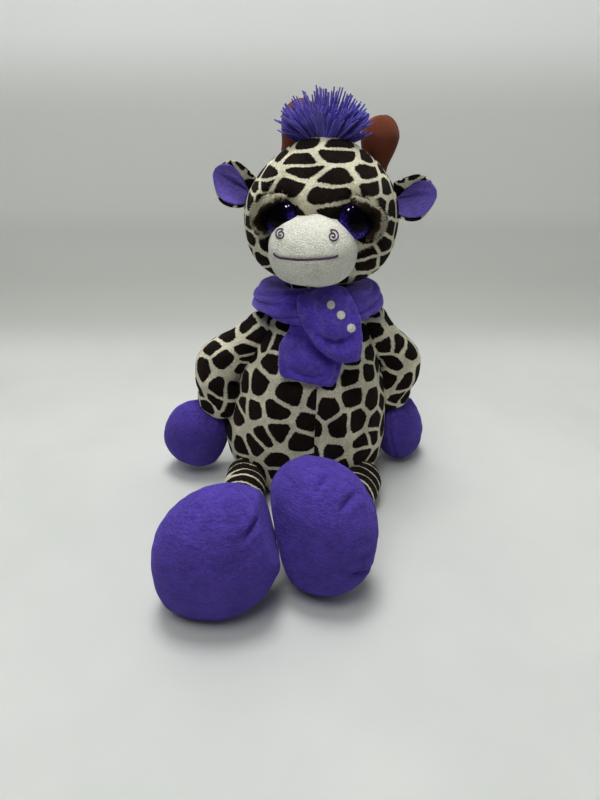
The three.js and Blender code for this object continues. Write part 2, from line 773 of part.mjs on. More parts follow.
function tailPieces() {
  const { halfDepth } = torsoAt(TAIL_ROOT_HEIGHT);
  const root = onTorso(0, halfDepth + TAIL_ROOT_RADIUS * 0.6, TAIL_ROOT_HEIGHT);
  const end = root.clone().add(v3(0, TAIL_LENGTH, 0)).setZ(TAIL_RADIUS + GAP);
  const bend = root.clone().lerp(end, 0.4).setZ(TAIL_RADIUS + GAP);
  const path = new THREE.QuadraticBezierCurve3(root, bend, end);
  const steps = 9;
  const rings = Array.from({ length: steps + 1 }, (_, i) => {
    const along = path.getTangent(i / steps);
    const up = X.clone().cross(along).normalize();
    const across = X.clone().multiplyScalar(TAIL_RADIUS);
    return oval(path.getPoint(i / steps), up.multiplyScalar(TAIL_RADIUS), across, 10);
  });
  const tube = solidOf(skinOf(rings, root, end));
  const tip = end.clone().add(v3(0, TAIL_RADIUS / 2, 0));
  const strands = sunflower(TAIL_TUFT_STRANDS).map(({ x, y }) =>
    strand(tip, v3(0.5 * x, 1, 0.2 * y).normalize(), TAIL_TUFT_LENGTH),
  );
  const knot = ballAt(tip, TAIL_RADIUS, 12);
  const around = new THREE.CylinderGeometry(TAIL_RADIUS + GAP, TAIL_RADIUS + GAP, TAIL_LENGTH / 2, 12);
  around.translate(end.x, end.y + GAP - TAIL_LENGTH / 4, end.z);
  return {
    root,
    socket: ballAt(root, TAIL_ROOT_RADIUS + SOCKET_GAP, 14),
    tail: tube.add(ballAt(root, TAIL_ROOT_RADIUS, 14)),
    fringe: cutBy(joined([knot, ...strands]), [solidOf(around), ground]),
  };
}

// The assembly

const toy = new THREE.Group();
const head = new THREE.Group();
head.position.copy(neckPivot);
head.rotation.set(0, rad(HEAD_TIP), rad(HEAD_TURN), "ZYX");
head.updateMatrix();
toy.add(head);

const tail = tailPieces();

// The room that the head and the muzzle need above the scarf as the head turns and nods.
function headRoomOf(still, turns) {
  const { down, up } = HEAD_SWING;
  const poses = turns.flatMap((turn) =>
    [down, 0, -up].map((nod) => still.transform(placed(v3(0, 0, 0), [[Z, turn], [X, nod]]).elements)),
  );
  return wasm.Manifold.hull(poses).transform(head.matrix.elements);
}
const headRoom = headRoomOf(headSolid(2 * GAP), [-HEAD_SWING.turn, 0, HEAD_SWING.turn]);
let band = cutBy(scarfBand(), [
  torsoClear,
  headRoom,
  ballAt(neckPivot, NECK_BALL_RADIUS + SOCKET_GAP, 20),
]);
let torso = torsoSolid().subtract(tail.socket).subtract(ground);

for (const name of ["left", "right"]) {
  const arm = armPieces(ARMS[name]);
  const leg = legPieces(LEGS[name]);
  const armSocket = ballAt(arm.shoulder, SHOULDER_RADIUS + SOCKET_GAP);
  torso = cutBy(torso, [armSocket, ballAt(leg.hip, HIP_RADIUS + SOCKET_GAP)]);
  band = band.subtract(armSocket);
  toy.add(meshOf(`${name}_arm`, arm.sleeve, PRINT()));
  toy.add(meshOf(`${name}_hand`, arm.hand, PURPLE()));
  toy.add(meshOf(`${name}_leg`, leg.leg, PRINT()));
  toy.add(meshOf(`${name}_foot`, leg.foot, PURPLE()));
}
toy.add(meshOf("torso", torso, PRINT()));
toy.add(meshOf("neck", neckSolid(), PRINT()));
toy.add(meshOf("tail", tail.tail, PRINT()));
toy.add(meshOf("tail_tuft", tail.fringe, PURPLE()));
toy.add(meshOf("scarf_band", band, PURPLE()));

// The under end hangs from the foot of the band onto the chest, the over end from its top.
const bandFront = bandCentre.y - BAND_HALF_DEPTH;
const bandFoot = bandCentre.z - BAND_HEIGHT / 2;
const bandTop = bandCentre.z + BAND_HEIGHT / 2 + BAND_FRONT_RISE;
const rootOf = ({ shift, inset }, height) => v3(bandCentre.x + shift, bandFront + inset, height);
const underRoot = rootOf(UNDER_END, bandFoot + UNDER_END_TUCK);
const overRoot = rootOf(OVER_END, bandTop);
const under = (grow) => {
  const chest = onTorso(0, -torsoAt(UNDER_END.bottom).halfDepth, UNDER_END.bottom).y;
  const line = [
    [0, 0],
    [UNDER_END.inset / 2, -BAND_HEIGHT * 0.7],
    [underRoot.y - chest + SCARF_END_THICKNESS / 2, UNDER_END.bottom - underRoot.z],
  ];
  return scarfEnd(UNDER_END, underRoot, line, grow);
};
const over = () => {
  const fall = OVER_END.bottom - overRoot.z;
  const line = [
    [0, 0],
    [OVER_END_ARCH, -SCARF_END_THICKNESS * 0.7],
    [OVER_END_STAND_OUT, fall * 0.4],
    [OVER_END_STAND_OUT, fall * 0.75],
    [OVER_END_STAND_OUT + SCARF_END_THICKNESS / 2, fall],
  ];
  return scarfEnd(OVER_END, overRoot, line);
};
const behind = torsoClear.add(scarfBand(GAP));
const underRoom = sweptBy(behind, underRoot, Y, -UNDER_END_SWING, UNDER_END_SWING);
toy.add(meshOf("scarf_under_end", under(0).subtract(underRoom), PURPLE()));
const muzzleRoom = headRoomOf(muzzleSolid(2 * GAP), [-HEAD_SWING.turn, 0, HEAD_SWING.turn]);
const overEnd = cutBy(over(), [behind, under(GAP), muzzleRoom]);
toy.add(meshOf("scarf_over_end", overEnd, PURPLE()));

let skull = headSolid().subtract(ballAt(v3(0, 0, 0), NECK_BALL_RADIUS + SOCKET_GAP, 20));
let muzzle = muzzleSolid().subtract(headClear);
for (const [name, side] of [["left", 1], ["right", -1]]) {
  const frame = eyeFrame(side);
  const eyeRoom = solidOf(eyeGeometry(GAP), frame);
  const earSocket = ballAt(earRoot(side), EAR_ROOT_RADIUS + SOCKET_GAP, 14);
  const earBall = ballAt(earRoot(side), EAR_ROOT_RADIUS, 14);
  const room = sweptBy(headClear, earRoot(side), Z, -EAR_SWING, EAR_SWING);
  const lining = earLayer(side, EAR_LIFT[name], -EAR_LINING_THICKNESS, -GAP);
  const back = earLayer(side, EAR_LIFT[name], 0, EAR_BACK_THICKNESS);
  skull = cutBy(skull, [
    eyeRoom,
    solidOf(washerPocket(), frame),
    earSocket,
    ballAt(hornPivot(name, side), HORN_FOOT_RADIUS + SOCKET_GAP),
  ]);
  muzzle = muzzle.subtract(eyeRoom);
  head.add(meshOf(`${name}_eye`, solidOf(eyeGeometry(), frame), GLOSS()));
  head.add(meshOf(`${name}_eye_washer`, solidOf(washerGeometry(), frame), PALE_PLASTIC()));
  head.add(meshOf(`${name}_eyelid`, lidSolid(side), PRINT()));
  head.add(meshOf(`${name}_ear_back`, back.subtract(room).add(earBall), PRINT()));
  head.add(meshOf(`${name}_ear_lining`, cutBy(lining, [room, earSocket]), PURPLE()));
  head.add(meshOf(`${name}_horn`, hornSolid(name, side), RUST()));
}
head.add(meshOf("head", skull, PRINT()));
head.add(meshOf("muzzle", muzzle, CREAM()));
head.add(meshOf("hair_tuft", tuftSolid(), PURPLE()));

export default toy;
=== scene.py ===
"""The looks of a sitting plush giraffe: printed plush, velour, suede, cut fringe and glossy eyes.

Metres, +Z up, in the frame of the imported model. Shapes are worked out in millimetres.
"""

import math

import bmesh
import bpy
import numpy as np
from bpy.props import FloatProperty, FloatVectorProperty, IntProperty, PointerProperty
from mathutils import Matrix, Vector
from mathutils.bvhtree import BVHTree


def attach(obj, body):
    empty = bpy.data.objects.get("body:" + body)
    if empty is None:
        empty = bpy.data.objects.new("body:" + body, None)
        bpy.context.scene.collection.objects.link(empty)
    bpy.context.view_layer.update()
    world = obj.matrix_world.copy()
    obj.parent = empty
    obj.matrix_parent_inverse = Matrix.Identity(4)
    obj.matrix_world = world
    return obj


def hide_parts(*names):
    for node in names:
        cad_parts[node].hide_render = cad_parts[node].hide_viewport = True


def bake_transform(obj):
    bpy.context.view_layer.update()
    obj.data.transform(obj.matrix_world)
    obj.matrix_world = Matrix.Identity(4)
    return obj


bl_info = {
    "name": "Plush giraffe",
    "version": (1, 0, 0),
    "blender": (4, 5, 0),
    "location": "View3D > Sidebar > Plush giraffe",
    "description": "Cloth, fringe, eyes and stitching of a sitting plush giraffe",
    "category": "Object",
}

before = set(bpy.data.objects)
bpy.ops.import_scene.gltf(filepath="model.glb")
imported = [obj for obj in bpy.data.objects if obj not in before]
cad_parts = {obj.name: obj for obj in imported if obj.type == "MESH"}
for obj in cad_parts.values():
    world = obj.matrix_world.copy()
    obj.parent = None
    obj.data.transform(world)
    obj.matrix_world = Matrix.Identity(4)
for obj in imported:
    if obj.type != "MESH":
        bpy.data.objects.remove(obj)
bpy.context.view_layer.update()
MM = 0.001
FIBRE_GIRTH, DOT_THREAD = 0.00022, 0.0011  # metres
SIDES = (("left", 1), ("right", -1))

# Sizes of the stuffed pieces, in millimetres and degrees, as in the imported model. Only the fringe
# spreads less, and the scarf's over end tapers and drifts more, than the solids that they replace.
TORSO_HEIGHT, TORSO_HALF_WIDTH, TORSO_HALF_DEPTH = 173, 74, 65
TORSO_PROFILE = (
    (0, 0.7, 0.68),
    (0.03, 0.85, 0.84),
    (0.14, 0.97, 0.97),
    (0.34, 1, 1),
    (0.58, 0.92, 0.9),
    (0.78, 0.77, 0.76),
    (0.92, 0.6, 0.62),
    (1, 0.44, 0.5),
)
TORSO_LEAN_LEFT, TORSO_LEAN_BACK, TORSO_TURN, SEAT_EDGE = 9, 7, 4, 0.6
NECK_HEIGHT, NECK_SHIFT_LEFT, NECK_BALL, NECK_WAIST = 24, 1, 26, 20
HEAD_HALF = np.array((64.5, 58, 60))
HEAD_CENTRE = np.array((0, -1, 52.0))
HEAD_TURN, HEAD_TIP = -5, 1.5
MUZZLE_HALF = np.array((34.5, 33, 28))
MUZZLE_DROP, MUZZLE_SET_BACK, MUZZLE_SHIFT, MUZZLE_TOP_NARROWING = 15, 4, -3, 0.24
EYE_RADIUS, EYE_DOME, EYE_OUT, EYE_UP, SHANK_RADIUS, SHANK_LENGTH = 14, 8, 28, 8.5, 2.6, 17
BROW_HALF_WIDTH, BROW_HALF_HEIGHT = 5.9, 4.2
EAR_LENGTH, EAR_HALF_WIDTH, EAR_CUP, EAR_UP, EAR_DEPTH = 34, 18, 58, 17, 3
EAR_LIFT = {"left": 8, "right": 26}
HORN_LENGTH, HORN_TIP, HORN_FOOT, HORN_BACK, HORN_SWING = 39.5, 15, 11.5, 28, 12
HORN_OUT = {"left": 41, "right": 26}
HORN_LEAN = {"left": 5, "right": -14}
TUFT_FORWARD, TUFT_LENGTH, TUFT_CLUMPS, TUFT_UNDERLAY = 5, 36.5, 62, 90
TUFT_SPREAD_SIDE, TUFT_SPREAD_DEPTH, TUFT_LEAN = 57, 24, 10
BAND_HALF_WIDTH, BAND_HALF_DEPTH, BAND_HEIGHT, BAND_THICKNESS = 56, 57, 28, 18
BAND_RISE, BAND_FRONT_RISE, BAND_HEAD_ROOM = 9, 3, 1.9
SCARF_END_THICKNESS, UNDER_END_TUCK, OVER_END_ARCH, OVER_END_STAND_OUT = 9, 6, 13, 19
UNDER_END = {"half": 27, "shift": 1, "slant": 12, "bottom": 122, "inset": 13, "taper": 0, "drift": 0}
OVER_END = {"half": 25, "shift": 2, "slant": -13, "bottom": 141, "inset": 12, "taper": 0.66, "drift": 12}
SHOULDER_DROP, SHOULDER_RADIUS, ARM_LENGTH, ARM_RADIUS, ARM_BOW_LOW = 22, 16, 98, 21, 1.5
WRIST_RADIUS, HAND_HALF_LENGTH, HAND_HALF_WIDTH, HAND_HALF_THICK = 18, 33, 31.5, 24
HAND_OVERLAP, HAND_DROOP = 8, 8
ARMS = {
    "left": {"out": 17, "bow": 15, "back": 6, "twist": 70, "stand": 4, "drop": -4},
    "right": {"out": 33, "bow": 16, "back": -4, "twist": 6, "stand": -2, "drop": 1},
}
HIP_RADIUS, HIP_STAND_OUT, ANKLE_RADIUS, ANKLE_SWING = 19, 8, 17, 20
FOOT_HALF_HEIGHT, FOOT_HALF_WIDTH, FOOT_HALF_DEPTH, FOOT_RAISE = 53, 46, 35, 26
LEGS = {
    "left": {"out": 46, "length": 75.5, "turn": 22.5, "foot": (-10, -13, -11)},
    "right": {"out": 60, "length": 99.5, "turn": 3, "foot": (6, 28, -8)},
}
FEET_MEET, FEET_SLANT, FEET_PRESS, FOOT_SEAM, PRESS_GAP = -26, 15, 0.8, 12, 0.4
RIGHT_FOOT_TOP, RIGHT_FOOT_CORNER = 74, (-97, -184, 14)
TAIL_RADIUS, TAIL_ROOT_RADIUS, TAIL_LENGTH, TAIL_ROOT_HEIGHT = 6, 7.5, 58, 28
TAIL_STRANDS, TAIL_STRAND_LENGTH = 70, 31
FLOOR_GAP, FABRIC_FLOOR = 0.35, 0.3


def srgb(red, green, blue):
    """A screen colour, 0 to 255, as the linear colour that shaders take."""
    share = [c / 255 for c in (red, green, blue)]
    return tuple(c / 12.92 if c <= 0.04045 else ((c + 0.055) / 1.055) ** 2.4 for c in share)


# Settings that a user would change


def colour_setting(name, description, *screen_colour):
    return FloatVectorProperty(
        name=name, description=description, subtype="COLOR", default=srgb(*screen_colour)
    )


def length_setting(name, description, metres):
    return FloatProperty(name=name, description=description, default=metres, unit="LENGTH")


class ClothSettings(bpy.types.PropertyGroup):
    patch_dark: colour_setting("Patch", "Dark patches of the print", 24, 16, 12)
    patch_cream: colour_setting("Ground", "Cream lines of the print", 212, 207, 182)
    purple: colour_setting("Purple plush", "Hands, feet and scarf", 76, 58, 152)
    fringe: colour_setting("Fringe", "Strands of the fringe", 86, 74, 182)
    muzzle: colour_setting("Muzzle", "Brushed cream cloth", 240, 240, 224)
    suede: colour_setting("Horns", "Rust brown suede", 102, 49, 28)
    patch_size: length_setting("Patch size", "Width of a patch", 0.0225)
    line_width: length_setting("Line width", "Cream line between patches", 0.0032)


class TrimSettings(bpy.types.PropertyGroup):
    strand_thickness: length_setting("Strand", "Thickness of a fringe strand", 0.0016)
    strand_count: IntProperty(name="Strands", description="Strands in the head fringe", default=380)
    thread_thickness: length_setting("Thread", "Thickness of the embroidery thread", 0.0012)


def cloth():
    return bpy.context.scene.giraffe_cloth


def trim():
    return bpy.context.scene.giraffe_trim


# Shapes: points in millimetres, rings of points, and the skin over them


def placed(position, *turns):
    """A frame at a place, turned about its own axes in the order given."""
    result = Matrix.Translation(Vector(position))
    for axis, degrees in turns:
        result = result @ Matrix.Rotation(math.radians(degrees), 4, axis)
    return result


def moved(points, matrix):
    m = np.array(matrix, float)
    return np.asarray(points, float) @ m[:3, :3].T + m[:3, 3]


def smooth_rows(rows, count):
    """A smooth curve through the rows, as evenly spaced rows."""
    rows = np.array(rows, float)
    step = np.sqrt(np.linalg.norm(np.diff(rows, axis=0), axis=1))
    knots = np.concatenate(([0], np.cumsum(step)))
    slopes = np.gradient(rows, knots, axis=0)
    at = np.linspace(0, knots[-1], count)
    i = np.clip(np.searchsorted(knots, at, side="right") - 1, 0, len(rows) - 2)
    h = (knots[i + 1] - knots[i])[:, None]
    t = (at - knots[i])[:, None] / h
    a, b = rows[i], rows[i + 1]
    ma, mb = slopes[i] * h, slopes[i + 1] * h
    return (
        (2 * t**3 - 3 * t**2 + 1) * a
        + (t**3 - 2 * t**2 + t) * ma
        + (3 * t**2 - 2 * t**3) * b
        + (t**3 - t**2) * mb
    )


def waves(points, scale, seed, count=7):
    """Soft uneven heights from -1 to 1 at the points: a fixed sum of waves."""
    pick = np.random.default_rng(seed)
    total = np.zeros(points.shape[:-1])
    for _ in range(count):
        total += np.sin(points @ (pick.normal(size=3) * 2.2 / scale) + pick.uniform(0, 7))
    return total / count**0.5 / 1.4


def bump(distance, width):
    return np.exp(-((distance / width) ** 2))


def rings_round(centres, across, back, sides):
    """Rings of points: each starts at the front, -back, and runs towards +across."""
    a = ring_angles(sides)
    return (
        centres[:, None]
        + np.sin(a)[None, :, None] * across[:, None]
        - np.cos(a)[None, :, None] * back[:, None]
    )


def level_rings(centres, wide, deep, sides):
    """Level rings round the centres, with their half-widths along X and along Y."""
    zero = 0 * wide
    return rings_round(centres, np.stack((wide, zero, zero), 1), np.stack((zero, deep, zero), 1), sides)


def upright(z):
    """Centres one above the other."""
    return np.stack((0 * z, 0 * z, z), 1)


def ring_angles(sides):
    return np.linspace(0, 2 * math.pi, sides, endpoint=False)


def outward(rings):
    """The outward directions of stacked rings."""
    around = np.roll(rings, -1, 1) - np.roll(rings, 1, 1)
    along = np.gradient(rings, axis=0)
    n = np.cross(around, along)
    n /= np.linalg.norm(n, axis=2, keepdims=True) + 1e-9
    middle = rings.mean(axis=1, keepdims=True)
    if ((rings - middle) * n).sum() < 0:
        n = -n
    return n


def away_from(spot, rings):
    return np.linalg.norm(rings - spot, axis=2)


def above(rings, floor):
    """The rings with no point below a height."""
    rings[:, :, 2] = np.maximum(rings[:, :, 2], floor)
    return rings


def tangents(path):
    along = np.gradient(path, axis=0)
    return along / np.linalg.norm(along, axis=1, keepdims=True)


def pushed(rings, push):
    """The rings with each point moved outwards by its own push."""
    return rings + outward(rings) * push[:, :, None]


def skin(name, rings, ends=None, panels=((0, math.pi, 0, 0),)):
    """A closed mesh over stacked rings, with the middles of the outer ones as its ends if no others
    are given. panels are (middle angle, half width, shift across, shift along): the flat cloth of
    each is laid out from its own middle line."""
    if ends is None:
        ends = (rings[0].mean(axis=0), rings[-1].mean(axis=0))
    count, sides = rings.shape[:2]
    a = np.linspace(0, 2 * math.pi, sides + 1)
    middle = rings.mean(axis=1)
    radius = np.linalg.norm(rings - middle[:, None], axis=2).mean(axis=1)
    run = np.linalg.norm(np.diff(middle, axis=0), axis=1) ** 2 + np.diff(radius) ** 2
    down = np.concatenate(([0], np.cumsum(np.sqrt(run))))
    points = np.concatenate((rings.reshape(-1, 3), np.array(ends, float)))
    quads, spots = [], []
    for k in range(sides):
        mid = (a[k] + a[k + 1]) / 2
        best = min(panels, key=lambda p: abs(math.remainder(mid - p[0], 2 * math.pi)) - p[1])
        turn = math.remainder(mid - best[0], 2 * math.pi) - mid
        u0, u1 = (a[k] + turn) * radius, (a[k + 1] + turn) * radius
        nxt = (k + 1) % sides
        for r in range(count - 1):
            quads.append((r * sides + k, r * sides + nxt, (r + 1) * sides + nxt, (r + 1) * sides + k))
            for u, d in ((u0[r], r), (u1[r], r), (u1[r + 1], r + 1), (u0[r + 1], r + 1)):
                spots.append((u + best[2], down[d] + best[3]))
        for ring, end in ((0, count * sides), (count - 1, count * sides + 1)):
            quads.append((ring * sides + k, end, ring * sides + nxt))
            spots.extend([(u0[ring] + best[2], down[ring] + best[3])] * 3)
    mesh = bpy.data.meshes.new(name)
    mesh.from_pydata((points * MM).tolist(), [], quads)
    layer = mesh.uv_layers.new(name="Cloth")
    layer.data.foreach_set("uv", (np.array(spots) * MM).astype(np.float32).ravel())
    return finish_mesh(name, mesh)


def added(name, data):
    """A new object in the scene. A mesh is shaded smooth."""
    if getattr(data, "polygons", None):
        data.polygons.foreach_set("use_smooth", [True] * len(data.polygons))
    thing = bpy.data.objects.new(name, data)
    bpy.context.scene.collection.objects.link(thing)
    return thing


def finish_mesh(name, mesh):
    """A smooth object of a closed mesh, with its faces turned outwards."""
    work = bmesh.new()
    work.from_mesh(mesh)
    bmesh.ops.recalc_face_normals(work, faces=work.faces)
    if work.calc_volume(signed=True) < 0:
        bmesh.ops.reverse_faces(work, faces=work.faces)
    work.to_mesh(mesh)
    work.free()
    mesh.update()
    return added(name, mesh)


FRONT_BACK = ((0, math.pi / 2, 0, 0), (math.pi, math.pi / 2, 310, 40))
QUARTERS = (
    (-math.pi / 4, math.pi / 4, 0, 0),
    (math.pi / 4, math.pi / 4, 150, 33),
    (3 * math.pi / 4, math.pi / 4, 290, 70),
    (-3 * math.pi / 4, math.pi / 4, 430, 12),
)


def dress(thing, finish, body, *nodes, fill=None):
    """Gives a piece its finish and hides the CAD nodes that it stands for. It rides the body that is
    named; a piece that is given the two bodies it joins is left in place."""
    thing.data.materials.clear()
    thing.data.materials.append(material(finish))
    if nodes:
        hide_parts(*nodes)
    if isinstance(body, str):
        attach(thing, body)
    else:
        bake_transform(thing)
    return thing


# Where the pieces stand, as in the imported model


def torso_centre(z):
    share = np.clip(np.asarray(z, float) / TORSO_HEIGHT, 0, 1) ** 2
    return np.stack((TORSO_LEAN_LEFT * share, TORSO_LEAN_BACK * share, np.asarray(z, float)), -1)


def torso_rows(count):
    """Half-width, half-depth and height up the torso."""
    profile = np.array(TORSO_PROFILE)[:, (1, 2, 0)]
    return smooth_rows(profile * (TORSO_HALF_WIDTH, TORSO_HALF_DEPTH, TORSO_HEIGHT), count)


TORSO_ROWS = torso_rows(400)
TORSO_FRAME = placed((0, 0, 0), ("Z", TORSO_TURN))


def torso_at(z):
    """Half-width and half-depth of the torso at a height."""
    return [float(np.interp(z, TORSO_ROWS[:, 2], TORSO_ROWS[:, i])) for i in (0, 1)]


def on_torso(x, y, z):
    spot = np.array((x, y, 0.0)) + torso_centre(z)
    return moved(spot, TORSO_FRAME)


NECK_PIVOT = on_torso(NECK_SHIFT_LEFT, 0, TORSO_HEIGHT) + (0, 0, NECK_HEIGHT)
HEAD_FRAME = placed(NECK_PIVOT, ("Z", HEAD_TURN), ("Y", HEAD_TIP))


def on_head(x, z, sign=-1):
    rest = 1 - (x / HEAD_HALF[0]) ** 2 - (z / HEAD_HALF[2]) ** 2
    return HEAD_CENTRE + (x, sign * HEAD_HALF[1] * math.sqrt(max(rest, 0)), z)


def on_crown(x, y):
    rest = 1 - (x / HEAD_HALF[0]) ** 2 - (y / HEAD_HALF[1]) ** 2
    return HEAD_CENTRE + (x, y, HEAD_HALF[2] * math.sqrt(rest))


def head_normal(point):
    n = (point - HEAD_CENTRE) / HEAD_HALF**2
    return n / np.linalg.norm(n)


def eye_frame(side):
    seat = on_head(side * EYE_OUT, EYE_UP)
    turn = Vector((0, 0, 1)).rotation_difference(Vector(head_normal(seat)))
    return HEAD_FRAME @ Matrix.Translation(Vector(seat)) @ turn.to_matrix().to_4x4()


def ear_root(side):
    out = HEAD_HALF[0] * math.sqrt(1 - (EAR_UP / HEAD_HALF[2]) ** 2)
    return HEAD_CENTRE + (side * (out - EAR_DEPTH), 0, EAR_UP)


def horn_pivot(name, side):
    seat = on_crown(side * HORN_OUT[name], HORN_BACK)
    return seat + head_normal(seat) * HORN_FOOT * math.sin(math.radians(HORN_SWING))


def shoulder_frame(name, side):
    arm = ARMS[name]
    height = TORSO_HEIGHT - SHOULDER_DROP - arm["drop"]
    place = on_torso(side * (torso_at(height)[0] + arm["stand"]), 0, height)
    return placed(place, ("Y", -side * arm["out"]), ("X", arm["back"]))


def hip_frame(name, side):
    leg = LEGS[name]
    height = HIP_RADIUS + FLOOR_GAP
    half_width, half_depth = torso_at(height)
    front = half_depth * math.sqrt(1 - (leg["out"] / half_width) ** 2)
    forward = front + HIP_STAND_OUT
    return placed(on_torso(side * leg["out"], -forward, height), ("Z", -leg["turn"]))


def limb_rings(length, top, bottom, swell, bow, sides, steps=60, bow_low=1):
    """A stuffed limb that runs down -Z between two rounded ends."""
    a = np.linspace(math.pi / 2, 0, 14)[1:-1]
    t = np.linspace(0, 1, steps)
    radius = top + (bottom - top) * t + swell * np.sin(math.pi * t)
    rows = np.concatenate(
        (
            np.stack((top * np.cos(a), 0 * a, top * np.sin(a)), 1),
            np.stack((radius, bow * np.sin(math.pi * t**bow_low), -length * t), 1),
            np.stack((bottom * np.cos(a[::-1]), 0 * a, -length - bottom * np.sin(a[::-1])), 1),
        )
    )
    centres = np.stack((rows[:, 1], 0 * rows[:, 0], rows[:, 2]), 1)
    rings = level_rings(centres, rows[:, 0], rows[:, 0], sides)
    return rings, ((0, 0, top), (0, 0, -length - bottom))


def bulb_rings(length, width_at, flat, fullness, sides, steps):
    """A stuffed bulb that runs down -Z from the origin. Its half-width is given for each share of
    the way down."""
    t = (1 - np.cos(np.linspace(0, math.pi, steps)[1:-1])) / 2
    w = width_at(t) * (1 - abs(2 * t - 1) ** fullness) ** (1 / fullness)
    return level_rings(upright(-length * t), w, w * flat, sides), ((0, 0, 0), (0, 0, -length))


# Materials

PLUSH_GRAIN = (800.0, 0.8, 0.0015)  # scale, strength and depth
RAGGED = 560.0  # scale of the noise that frays the edges of the print


def node(tree, kind, inputs=(), **settings):
    """Adds a node with its settings. Of its inputs, by name or number, a socket is wired and any
    other value is set."""
    made = tree.nodes.new(kind)
    for key, value in settings.items():
        setattr(made, key, value)
    for key, value in dict(inputs).items():
        if isinstance(value, bpy.types.NodeSocket):
            tree.links.new(value, made.inputs[key])
        else:
            made.inputs[key].default_value = value
    return made


def tint(colour):
    """A colour that is given as numbers or as the name of a setting."""
    return tuple(getattr(cloth(), colour)) if isinstance(colour, str) else colour


class Shade:
    """A material while it is put together, with the steps that the cloths share."""

    def __init__(self, name, roughness, sheen=0.0, specular=0.3, **more):
        self.made = bpy.data.materials.new(name)
        self.made.use_nodes = True
        self.tree = self.made.node_tree
        self.shader = self.tree.nodes["Principled BSDF"]
        values = {"Roughness": roughness, "Sheen Weight": sheen, "Specular IOR Level": specular}
        for key, value in {**values, "Sheen Roughness": 0.45, **more}.items():
            self.shader.inputs[key.replace("_", " ")].default_value = value
        self.place = self.node("TexCoord").outputs["Object"]

    def done(self, tone):
        self.tree.links.new(tone, self.shader.inputs["Base Color"])
        return self.made

    def node(self, kind, inputs=(), **settings):
        return node(self.tree, f"ShaderNode{kind}", inputs, **settings)

    def layer(self, name):
        """Places on the flat cloth. Fibres keep those of their roots in a layer of their own."""
        if name == "Cloth":
            return self.node("UVMap", uv_map=name).outputs["UV"]
        return self.node("Attribute", attribute_name=name).outputs["Vector"]

    def split(self, source):
        return self.node("SeparateXYZ", {0: source}).outputs

    def noise(self, source, scale, detail=3.0, distortion=0.0, output="Fac"):
        values = {"Vector": source, "Scale": scale, "Detail": detail, "Distortion": distortion}
        return self.node("TexNoise", {**values, "Roughness": 0.55}).outputs[output]

    def specks(self, scale):
        """A number from 0 to 1 for each cell of a fine pattern."""
        cells = self.node("TexVoronoi", {"Vector": self.place, "Scale": scale})
        return self.node("SeparateColor", {0: cells.outputs["Color"]}).outputs[0]

    def ramp(self, source, low, high, black=0.0, white=1.0):
        """A smooth step between two input values."""
        values = {"Value": source, "From Min": low, "From Max": high, "To Min": black, "To Max": white}
        return self.node("MapRange", values, interpolation_type="SMOOTHSTEP").outputs["Result"]

    def mix(self, factor, one, two, kind="MIX"):
        one, two = ((*c, 1) if isinstance(c, tuple) else c for c in (one, two))
        values = {0: factor, 6: one, 7: two}
        return self.node("Mix", values, data_type="RGBA", blend_type=kind).outputs[2]

    def maths(self, kind, one, two):
        return self.node("Math", {0: one, 1: two}, operation=kind).outputs[0]

    def grain(self, scale, strength, distance, under=None):
        """The short pile of plush as fine bumps, over wider ones if they are given."""
        fine = self.noise(self.place, scale, 2.0)
        values = {"Strength": strength, "Distance": distance, "Height": fine}
        if under:
            values["Normal"] = under
        self.tree.links.new(self.node("Bump", values).outputs[0], self.shader.inputs["Normal"])
        return fine

    def shaded(self, colour, factor, low, high):
        """A colour made darker and lighter by a factor from 0 to 1."""
        amount = self.ramp(factor, 0.25, 0.75, low, high)
        tone = self.node("CombineColor", dict.fromkeys(range(3), amount)).outputs[0]
        return self.mix(1.0, colour, tone, "MULTIPLY")

    def nap(self, colour, fine, amount):
        """Colour that lies lighter and darker with the nap of the pile."""
        for factor in (self.noise(self.place, 55.0), fine):
            colour = self.shaded(colour, factor, 1 - amount, 1 + amount)
        return colour


def plush_material(name, colour, scale=900.0, amount=0.14, sheen=0.3, ripple=0.0022, pale=0.1, crush_and_sheen=0.0):
    """Brushed pile that lies in short level ripples, or in pale crushed places that also stand in as painted
    sheen.
    """
    colour = tint(colour)
    shade = Shade(name, 0.95, sheen, 0.12, Sheen_Tint=(*[min(1, c * 2.4 + pale) for c in colour], 1))
    level = shade.node("Mapping", {"Vector": shade.place, "Scale": (1, 1, 2.4)})
    rippled = shade.noise(level.outputs[0], 270.0, 2.0, 0.7)
    raised = shade.node("Bump", {"Strength": 0.8, "Distance": ripple, "Height": rippled})
    fine = shade.grain(scale, 0.6, 0.001, raised.outputs[0])
    tone = shade.shaded(shade.nap(colour, fine, amount), rippled, 0.76, 1.2)
    # Pale patches of crushed nap, which also serve as painted sheen highlights on the velour
    if crush_and_sheen:
        places = shade.ramp(shade.noise(shade.place, 120.0), 0.46, 0.7, 0.0, crush_and_sheen)
        tone = shade.mix(places, tone, srgb(134, 122, 204))
    return shade.done(tone)


